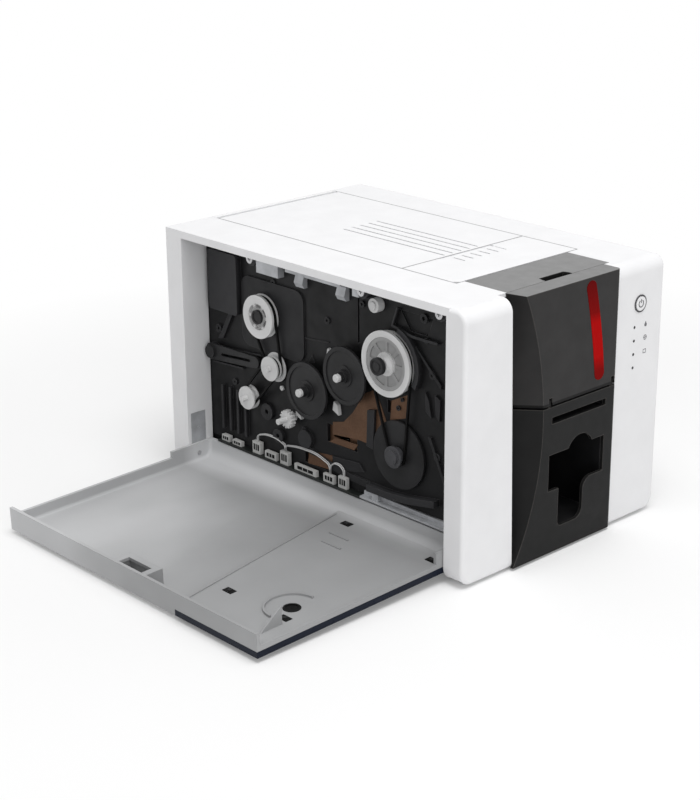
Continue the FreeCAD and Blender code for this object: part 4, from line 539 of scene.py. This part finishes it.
def seamed(name, node, finish, line_colour):
    """Moulded plastic with a thin shadow line along the four upper edges of one panel."""
    n = Surface(name)
    low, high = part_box(node)
    edges = [("X", low.x), ("X", high.x), ("Y", low.y), ("Y", high.y)]
    gaps = [n.maths("ABSOLUTE", n.maths("SUBTRACT", n.along(axis), edge)) for axis, edge in edges]
    nearest = gaps.pop()
    while gaps:
        nearest = n.maths("MINIMUM", nearest, gaps.pop())
    start, end = SEAM_SPAN
    inside = n.level(nearest, start * MM, end * MM)
    lined = n.blend(inside, opaque(line_colour), n.stained(finish))
    sideways = n.facing_up(*reversed(TOP_FACING))
    n.set("Base Color", n.blend(sideways, lined, opaque(finish.colour)))
    n.gloss(finish)
    n.set("Normal", n.grained(finish))
    return n.material


def frame_finish(name, finish):
    """Black frame moulding: its raised parts are painted a little paler than its floor, as painted light over a
    shaded floor, and its edges carry a painted highlight.
    """
    n = Surface(name)
    floor, top = RAISED_LIGHT_LEVELS
    # Painted light and shade: raised parts paler than the frame's floor
    height = n.level(n.along("X"), (FACE_X - floor) * MM, (FACE_X - top) * MM, high=RAISED_LIGHT_SHARE)
    blotch = n.maths("MULTIPLY_ADD", n.noise(FRAME_STAINS), finish.vary, height)
    base = n.ramp(blotch, [(place, scaled(finish.colour, share)) for place, share in FRAME_TONE_SHARES])
    # Painted highlight: the frame's edges are paler than its faces
    n.set("Base Color", n.highlit_edges(base, FRAME_EDGE_HIGHLIGHT))
    n.set("Specular IOR Level", finish.shine)
    n.roughen(finish.rough, n.noise(FRAME_GLOSS), FRAME_GLOSS_SHARES)
    n.set("Normal", n.grained(finish, n.soft_edges(FRAME_EDGE_R)))
    return n.material


def door_finish(name, finish, outside):
    """Side door: satin, with painted light that makes it palest at its rear outer corner and its hinge, white on
    the outside.
    """
    n = Surface(name)
    low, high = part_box("side_door")
    # Painted light: the rear, the outer part and the band at the hinge are made paler
    rear_light = n.level(n.along("Y"), middle("side_door").y, high.y)
    outer_light = n.level(n.along("X"), high.x, low.x)
    start, end = HINGE_LIGHT_BAND
    hinge_light = n.level(n.along("X"), high.x - start * MM, high.x - end * MM)
    total = n.maths("MULTIPLY", n.noise(DOOR_STAINS, place=n.stretched(DOOR_STRETCH)), finish.vary)
    for band, share in ((rear_light, REAR_LIGHT_SHARE), (outer_light, OUTER_LIGHT_SHARE), (hinge_light, HINGE_LIGHT_SHARE)):
        total = n.maths("MULTIPLY_ADD", band, share, total)
    inner = n.ramp(total, [(place, scaled(finish.colour, share)) for place, share in DOOR_TONE_SHARES])
    n.set("Base Color", n.blend(n.facing_up(*OUTSIDE_FACING), inner, opaque(outside)))
    n.set("Specular IOR Level", finish.shine)
    n.roughen(finish.rough, n.noise(DOOR_GLOSS), DOOR_GLOSS_SHARES)
    n.set("Normal", n.grained(finish, n.soft_edges(DOOR_EDGE_R)))
    return n.material


def ringed(name, node, finish, rings):
    """A wheel whose tone changes with the distance from its axis."""
    n = Surface(name)
    axis = middle(node)
    rim = rings[-1][0]
    moved = n.vector("SUBTRACT", "Vector", n.coords.outputs["Object"], (0, axis.y, axis.z))
    flat = n.vector("MULTIPLY", "Vector", moved, (0, 1, 1))
    away = n.level(n.vector("LENGTH", "Value", flat), 0, rim * MM)
    tone = n.ramp(away, [(radius / rim, (grey, grey, grey)) for radius, grey in rings])
    stains = n.ramp(n.noise(RING_STAINS, finish.grain), tones(RING_STAIN, finish.vary))
    n.set("Base Color", n.blend(1.0, tone, stains, blend_type="MULTIPLY"))
    n.gloss(finish)
    n.set("Normal", n.grained(finish, n.soft_edges(EDGE_R)))
    return n.material


def front_finish(name, node, finish):
    """Black moulding of the front: painted highlights on its edges, painted shade in the gap between the two
    covers, a top painted paler as if lit from above.
    """
    n = Surface(name)
    low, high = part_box(node)
    # Painted highlight: the front's edges are paler than its faces
    base = n.highlit_edges(n.stained(finish), FRONT_EDGE_HIGHLIGHT)
    # Painted shade: a dark band where the two covers meet
    shaded_gap_sides = {"feeder_door": (low.z, 1), "lower_front_cover": (high.z, -1)}
    if node in shaded_gap_sides:
        edge, side = shaded_gap_sides[node]
        inner = edge + side * GAP_SHADE_BAND * MM
        outer = inner + side * BAND_BLUR * MM
        base = n.blend(n.level(n.along("Z"), outer, inner), base, opaque(GAP_SHADE))
    # Painted light: upward faces near the top are paler, as if lit from above
    if node in TOP_LIGHT_BANDS:
        edge = high.z - TOP_LIGHT_BANDS[node] * MM
        above = n.level(n.along("Z"), edge, edge + BAND_BLUR * MM)
        base = n.blend(n.maths("MULTIPLY", above, n.facing_up(*TOP_FACING)), base, opaque(TOP_LIGHT))
    n.set("Base Color", base)
    n.gloss(finish)
    n.set("Normal", n.grained(finish, n.soft_edges(EDGE_R)))
    return n.material


def metal(name, finish):
    """Rolled or turned metal with fine lines and slight stains."""
    n = Surface(name)
    lines = n.noise(METAL_LINES, finish.grain, n.stretched(METAL_STRETCH))
    n.set("Base Color", n.ramp(n.noise(METAL_STAINS, finish.grain), tones(finish.colour, METAL_VARY)))
    n.set("Metallic", finish.share)
    n.roughen(finish.rough, lines, METAL_GLOSS_SHARES)
    n.set("Normal", n.bump(lines, METAL_BUMP, LINE_DEPTH))
    return n.material


def rubber(name, finish):
    """Rubber with dust in its grain."""
    n = Surface(name)
    n.set("Base Color", n.ramp(n.noise(RUBBER_STAINS), tones(finish.colour, RUBBER_VARY)))
    n.set("Specular IOR Level", RUBBER_SHINE)
    n.roughen(finish.rough, n.noise(RUBBER_GLOSS), RUBBER_GLOSS_SHARES)
    n.set("Normal", n.bump(n.noise(RUBBER_GRAIN), RUBBER_BUMP, GRAIN_DEPTH))
    return n.material


def red_window(name):
    """Red window: brightest along the middle of its height, with a faint painted glow though it holds no lamp."""
    n = Surface(name)
    low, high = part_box("level_window")
    height = n.level(n.along("Z"), low.z, high.z)
    colour = n.ramp(height, [(place, (red, WINDOW_DEEP, WINDOW_DEEP)) for place, red in WINDOW_REDS])
    n.set("Base Color", colour)
    # Painted glow: the window holds no lamp
    n.set("Emission Color", colour)
    n.set("Emission Strength", WINDOW_PAINTED_GLOW)
    n.set("Specular IOR Level", WINDOW_SHINE)
    n.roughen(WINDOW_ROUGH, n.noise(WINDOW_GLOSS), WINDOW_GLOSS_SHARES)
    n.set("Normal", n.bump(n.noise(WINDOW_GRAIN), WINDOW_BUMP, LINE_DEPTH))
    return n.material


def slot_materials():
    """One material for each slot, for the marks, and for the painted shade in gaps."""
    made = {
        "window_red": red_window("window_red"),
        "frame_black": frame_finish("frame_black", FRAME_BLACK),
        "door_inner": door_finish("door_inner", DOOR_INNER, FINISHES["white_shell"].colour),
    }
    for maker, table in ((moulded, FINISHES), (metal, METALS), (rubber, RUBBERS)):
        for name, finish in table.items():
            made[name] = maker(name, finish)
    return made


def node_materials():
    """Materials of the nodes that look unlike the rest of their slot."""
    lower = front_finish("lower_black", "lower_front_cover", LOWER_BLACK)
    made = {
        "feeder_door": front_finish("upper_black", "feeder_door", UPPER_BLACK),
        "lower_front_cover": lower,
        "front_frame": lower,
        "black_top_panel": front_finish("top_black", "black_top_panel", PANEL_BLACK),
    }
    for node in ("top_lid", "top_front_piece"):
        # Painted shade: thin dark lines along the seams of the top
        made[node] = seamed(node + "_white", node, FINISHES["white_shell"], FINISHES["gap_grey"].colour)
    for node, (slot, rings) in WHEEL_RINGS.items():
        made[node] = ringed(node + "_rings", node, FINISHES[slot], rings)
    return made


def dress_nodes():
    own = node_materials()
    for part in frame["record"]["subparts"]:
        material = own.get(part["node"]) or MATERIALS[part["material_slot"]]
        for slot in frame["nodes"][part["node"]].material_slots:
            slot.material = material


def rectangle(a0, b0, a1, b1):
    return [(a0, b0), (a1, b0), (a1, b1), (a0, b1)]


def centred(a, b, half_a, half_b):
    return rectangle(a - half_a, b - half_b, a + half_a, b + half_b)


def disc(a, b, radius):
    turns = [math.tau * i / DISC_SIDES for i in range(DISC_SIDES)]
    return [(a + radius * math.cos(turn), b + radius * math.sin(turn)) for turn in turns]


def on_side(a, b, depth):
    return (depth, a, b)


def on_front(a, b, depth):
    return (a, depth, b)


def on_top(a, b, depth):
    return (a, b, depth)


def on_door(y, z, depth):
    """Place on the open door of a point told as on the closed one: Y, Z and depth in from its outer face."""
    out = DOOR_FACE_X + depth - PIN_X
    up = z - PIN_Z
    turn = math.radians(-DOOR_OPEN)
    return (PIN_X + out * math.cos(turn) + up * math.sin(turn), y,
            PIN_Z - out * math.sin(turn) + up * math.cos(turn))


def piece(name, body, slot, points, faces, finish=None):
    """A closed mesh from points in mm, which rides on a body of the machine."""
    mesh = bpy.data.meshes.new(name)
    mesh.from_pydata([tuple(c * MM for c in point) for point in points], [], faces)
    mesh.materials.append(MATERIALS[finish or slot])
    shape = bmesh.new()
    shape.from_mesh(mesh)
    bmesh.ops.recalc_face_normals(shape, faces=shape.faces)
    shape.to_mesh(mesh)
    shape.free()
    obj = bpy.data.objects.new(name, mesh)
    bpy.context.scene.collection.objects.link(obj)
    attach(obj, body)


def slab(name, body, slot, outline, place, near, far, finish=None):
    """A flat outline pushed from near to far; place turns its two numbers and a depth into a point."""
    count = len(outline)
    points = [place(a, b, depth) for depth in (near, far) for a, b in outline]
    faces = [tuple(range(count)), tuple(reversed(range(count, count * 2)))]
    for i in range(count):
        j = (i + 1) % count
        faces.append((j, i, i + count, j + count))
    piece(name, body, slot, points, faces, finish)


def ring(name, body, slot, centre, outer, inner, place, near, far, span=FULL_TURN, start=0.0, finish=None):
    """A flat ring, or a part of one, pushed from near to far."""
    steps = max(RING_STEPS_MIN, int(span / RING_STEP))
    closed = span >= FULL_TURN
    count = steps if closed else steps + 1
    points, faces = [], []
    for depth in (near, far):
        for radius in (outer, inner):
            for i in range(count):
                turn = math.radians(start + span * i / steps)
                a, b = centre[0] + radius * math.cos(turn), centre[1] + radius * math.sin(turn)
                points.append(place(a, b, depth))
    for i in range(steps):
        j = (i + 1) % count
        faces += [(i, j, j + count, i + count), (i + 2 * count, i + 3 * count, j + 3 * count, j + 2 * count),
                  (j, i, i + 2 * count, j + 2 * count), (i + count, j + count, j + 3 * count, i + 3 * count)]
    if not closed:
        for i in (0, count - 1):
            faces.append((i, i + count, i + 3 * count, i + 2 * count))
    piece(name, body, slot, points, faces, finish)


def add_sheets_and_steps():
    """Copper-coloured sheets, raised steps and ribs on the face of the drive's frame."""
    for name, outline in SHEETS.items():
        slab(name, "frame", "copper", outline, on_side, FACE_X + SINK, FACE_X - SHEET_T)
    for name, (outline, height) in RAISED.items():
        slab(name, "frame", "frame_black", outline, on_side, FACE_X + SINK, FACE_X - height)


def add_bosses_and_screws():
    for name, (y, z, outer, height, hole) in BOSSES.items():
        ring(name, "frame", "frame_black", (y, z), outer, hole, on_side, FACE_X + SINK, FACE_X - height)
    head = FACE_X - SCREW_T
    for name, (y, z) in SCREWS.items():
        slab(name, "frame", "wheel_black", disc(y, z, SCREW_R), on_side, FACE_X + SINK, head)
        ring(name + "_socket", "frame", "wheel_black", (y, z), SOCKET_R, SOCKET_PIN_R, on_side, head + SINK,
             head - SOCKET_PROUD)


def add_drum_and_post():
    """Part of a drum that stands behind the feed wheel, and a white post beside the first disc."""
    axis = middle("feed_pulley") / MM
    outer, inner, height, start, span = DRUM
    ring("feed_drum", "frame", "frame_black", (axis.y, axis.z), outer, inner, on_side, FACE_X + SINK,
         FACE_X - height, span, start)
    y, z, radius, height = GUIDE_POST
    slab("guide_post", "frame", "wheel_white", disc(y, z, radius), on_side, FACE_X + SINK, FACE_X - height)


def joined_to(start, left):
    """Places in mm of a corner and of all that edges join to it, taken out of those that are left."""
    group, todo = [], [start]
    while todo:
        vert = todo.pop()
        group.append(vert.co / MM)
        for edge in vert.link_edges:
            other = edge.other_vert(vert)
            if other in left:
                left.remove(other)
                todo.append(other)
    return group


def islands(obj):
    """Low and high corner in mm of each separate solid in a node, from front to rear."""
    shape = bmesh.new()
    shape.from_mesh(obj.data)
    shape.transform(obj.matrix_world)
    bmesh.ops.remove_doubles(shape, verts=shape.verts, dist=MERGE * MM)
    left = set(shape.verts)
    found = []
    while left:
        columns = list(zip(*joined_to(left.pop(), left)))
        low = Vector([min(column) for column in columns])
        high = Vector([max(column) for column in columns])
        found.append((low, high))
    shape.free()
    return sorted(found, key=lambda box: box[0].y)


def add_sockets():
    """Dark mouth of painted shade and two posts on the outer face of each connector."""
    for i, (low, high) in enumerate(islands(frame["nodes"]["connectors"])):
        wide, tall = high.y - low.y, high.z - low.z
        side = wide * MOUTH_SIDE_SHARE
        y0, y1 = low.y + side, high.y - side
        z0, z1 = low.z + tall * MOUTH_LOW_SHARE, high.z - tall * MOUTH_HIGH_SHARE
        inside = low.x + MOUTH_SINK
        # Painted shade: a dark sheet for the connector's opening
        slab("socket_mouth_%d" % i, "frame", "wheel_black", rectangle(y0, z0, y1, z1), on_side, inside,
             low.x - MOUTH_PROUD, "belt_rubber")
        for j in range(1, POST_COUNT + 1):
            y = y0 + (y1 - y0) * j / (POST_COUNT + 1)
            outline = rectangle(y - POST_HALF_W, z0, y + POST_HALF_W, z1)
            slab("socket_post_%d_%d" % (i, j), "frame", "connector_white", outline, on_side, inside,
                 low.x - POST_PROUD)


def add_power_symbol():
    centre = middle("power_button") / MM
    x, z = centre.x, centre.z
    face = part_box("power_button")[0].y / MM
    near, far = face + PRINT_SINK, face - PRINT_PROUD
    ring("button_mark_ring", "power_button", "ring_grey", (x, z), SYMBOL_R, SYMBOL_INNER_R, on_front, near,
         far, SYMBOL_SPAN, SYMBOL_START)
    low, high = SYMBOL_BAR_SPAN
    bar = rectangle(x - SYMBOL_BAR_HALF_W, z + low, x + SYMBOL_BAR_HALF_W, z + high)
    slab("button_mark_bar", "power_button", "ring_grey", bar, on_front, near, far)


def add_pictograms():
    """A plain drop, a crossed ring and a box beside the lamps."""
    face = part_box("right_cover")[0].y / MM
    near, far = face + PRINT_SINK, face - PRINT_PROUD
    slab("mark_drop", "frame", "ring_grey", MARK_DROP, on_front, near, far, "mark_grey")
    for name, corners in MARK_BARS.items():
        slab(name, "frame", "ring_grey", rectangle(*corners), on_front, near, far, "mark_grey")
    ring("mark_wheel", "frame", "ring_grey", MARK_WHEEL, MARK_WHEEL_R, MARK_WHEEL_INNER_R, on_front, near,
         far, finish="mark_grey")


def add_groove_shade():
    """Dark sheets of painted shade at the bottoms of the grooves in the lid and in the piece in front of it."""
    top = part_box("top_lid")[1].z / MM
    low, high = GROOVE_DEPTHS
    for i in range(GROOVE_COUNT):
        x = GROOVE_X + GROOVE_PITCH * i
        for kind, body, (start, end) in (("long", "top_lid", GROOVE_SPAN), ("short", "frame", STUB_SPAN)):
            outline = rectangle(x - GROOVE_HALF_W, start, x + GROOVE_HALF_W, end)
            # Painted shade: a dark sheet at the groove's bottom
            slab("groove_%s_%d" % (kind, i), body, "ring_grey", outline, on_top, top - low, top - high,
                 "gap_grey")


def add_grip_floor():
    """White floor of the finger recess in front of the lid."""
    lid_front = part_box("top_lid")[0].y / MM
    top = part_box("top_front_piece")[1].z / MM
    left, right = GRIP_SPAN
    front, rear = GRIP_AHEAD
    low, high = GRIP_DEPTHS
    outline = rectangle(left, lid_front - front, right, lid_front - rear)
    slab("grip_floor", "frame", "white_shell", outline, on_top, top - low, top - high)


def add_door_details():
    """Dark clips in the door's slots, the plug in its round hole and the line across it."""
    for i, (y, z) in enumerate(CLIPS):
        slab("door_clip_%d" % i, "side_door", "wheel_black", centred(y, z, *CLIP_HALF), on_door, *CLIP_DEPTHS,
             "belt_rubber")
        slab("door_clip_tongue_%d" % i, "side_door", "wheel_black", centred(y, z, *TONGUE_HALF), on_door,
             *TONGUE_DEPTHS)
    ring("door_plug", "side_door", "wheel_black", DOOR_HOLE, PLUG_R, PLUG_BORE_R, on_door, *PLUG_DEPTHS,
         finish="belt_rubber")
    ring("door_plug_rim", "side_door", "wheel_black", DOOR_HOLE, PLUG_R, RIM_INNER_R, on_door, *RIM_DEPTHS,
         finish="belt_rubber")
    slab("door_line_edge", "side_door", "door_inner", DOOR_LINE, on_door, *DOOR_LINE_DEPTHS)


def add_details():
    add_sheets_and_steps()
    add_bosses_and_screws()
    add_drum_and_post()
    add_sockets()
    add_power_symbol()
    add_pictograms()
    add_groove_shade()
    add_grip_floor()
    add_door_details()


def add_camera():
    camera = bpy.data.objects.new("camera", bpy.data.cameras.new("camera"))
    bpy.context.scene.collection.objects.link(camera)
    turn = Matrix((RIGHT, UP, RIGHT.cross(UP))).transposed().to_4x4()
    camera.matrix_world = Matrix.Translation(EYE) @ turn
    camera.data.lens = LENS
    camera.data.sensor_width = SENSOR
    bpy.context.scene.camera = camera


def add_floor():
    """White floor under the feet: it takes the shadow near the machine and glows white further out."""
    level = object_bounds()[0][2]
    half = FLOOR_SIDE / 2
    mesh = bpy.data.meshes.new("floor")
    mesh.from_pydata([(x, y, level) for x, y in rectangle(-half, -half, half, half)], [], [(0, 1, 2, 3)])
    floor = bpy.data.objects.new("floor", mesh)
    bpy.context.scene.collection.objects.link(floor)
    n = Surface("floor")
    n.set("Base Color", n.ramp(n.noise(FLOOR_STAINS), tones(FLOOR_COLOUR, FLOOR_VARY)))
    n.set("Roughness", FLOOR_ROUGH)
    n.set("Specular IOR Level", FLOOR_SHINE)
    away = n.vector("LENGTH", "Value", n.coords.outputs["Object"])
    share = n.maths("MULTIPLY", n.seen_directly(), n.level(away, *FLOOR_GLOW_SPAN, low=FLOOR_GLOW_NEAR))
    mix = n.add("ShaderNodeMixShader")
    glow = n.add("ShaderNodeEmission")
    for entry, source in zip(mix.inputs, (share, n.shader.outputs[0], glow.outputs[0])):
        n.feed(entry, source)
    n.feed(n.tree.nodes["Material Output"].inputs["Surface"], mix.outputs[0])
    mesh.materials.append(n.material)


def add_world():
    world = bpy.data.worlds.new("surround")
    bpy.context.scene.world = world
    world.use_nodes = True
    tree = Tree(world.node_tree)
    background = world.node_tree.nodes["Background"]
    tree.feed(background.inputs["Color"], WHITE_LIGHT)
    tree.feed(background.inputs["Strength"], tree.level(tree.seen_directly(), 0, 1, low=WORLD_LIGHT))


def add_lamp(name, lamp):
    light = bpy.data.lights.new(name, "AREA")
    light.shape = "RECTANGLE"
    light.size = lamp.side
    light.size_y = lamp.side
    light.energy = lamp.power
    obj = bpy.data.objects.new(name, light)
    bpy.context.scene.collection.objects.link(obj)
    obj.location = lamp.place
    obj.rotation_euler = (Vector(lamp.target) - Vector(lamp.place)).to_track_quat("-Z", "Y").to_euler()


bpy.context.scene.view_settings.view_transform = "Standard"
MATERIALS = slot_materials()
dress_nodes()
add_details()
add_camera()
add_floor()
add_world()
for lamp_name, lamp in LAMPS.items():
    add_lamp(lamp_name, lamp)
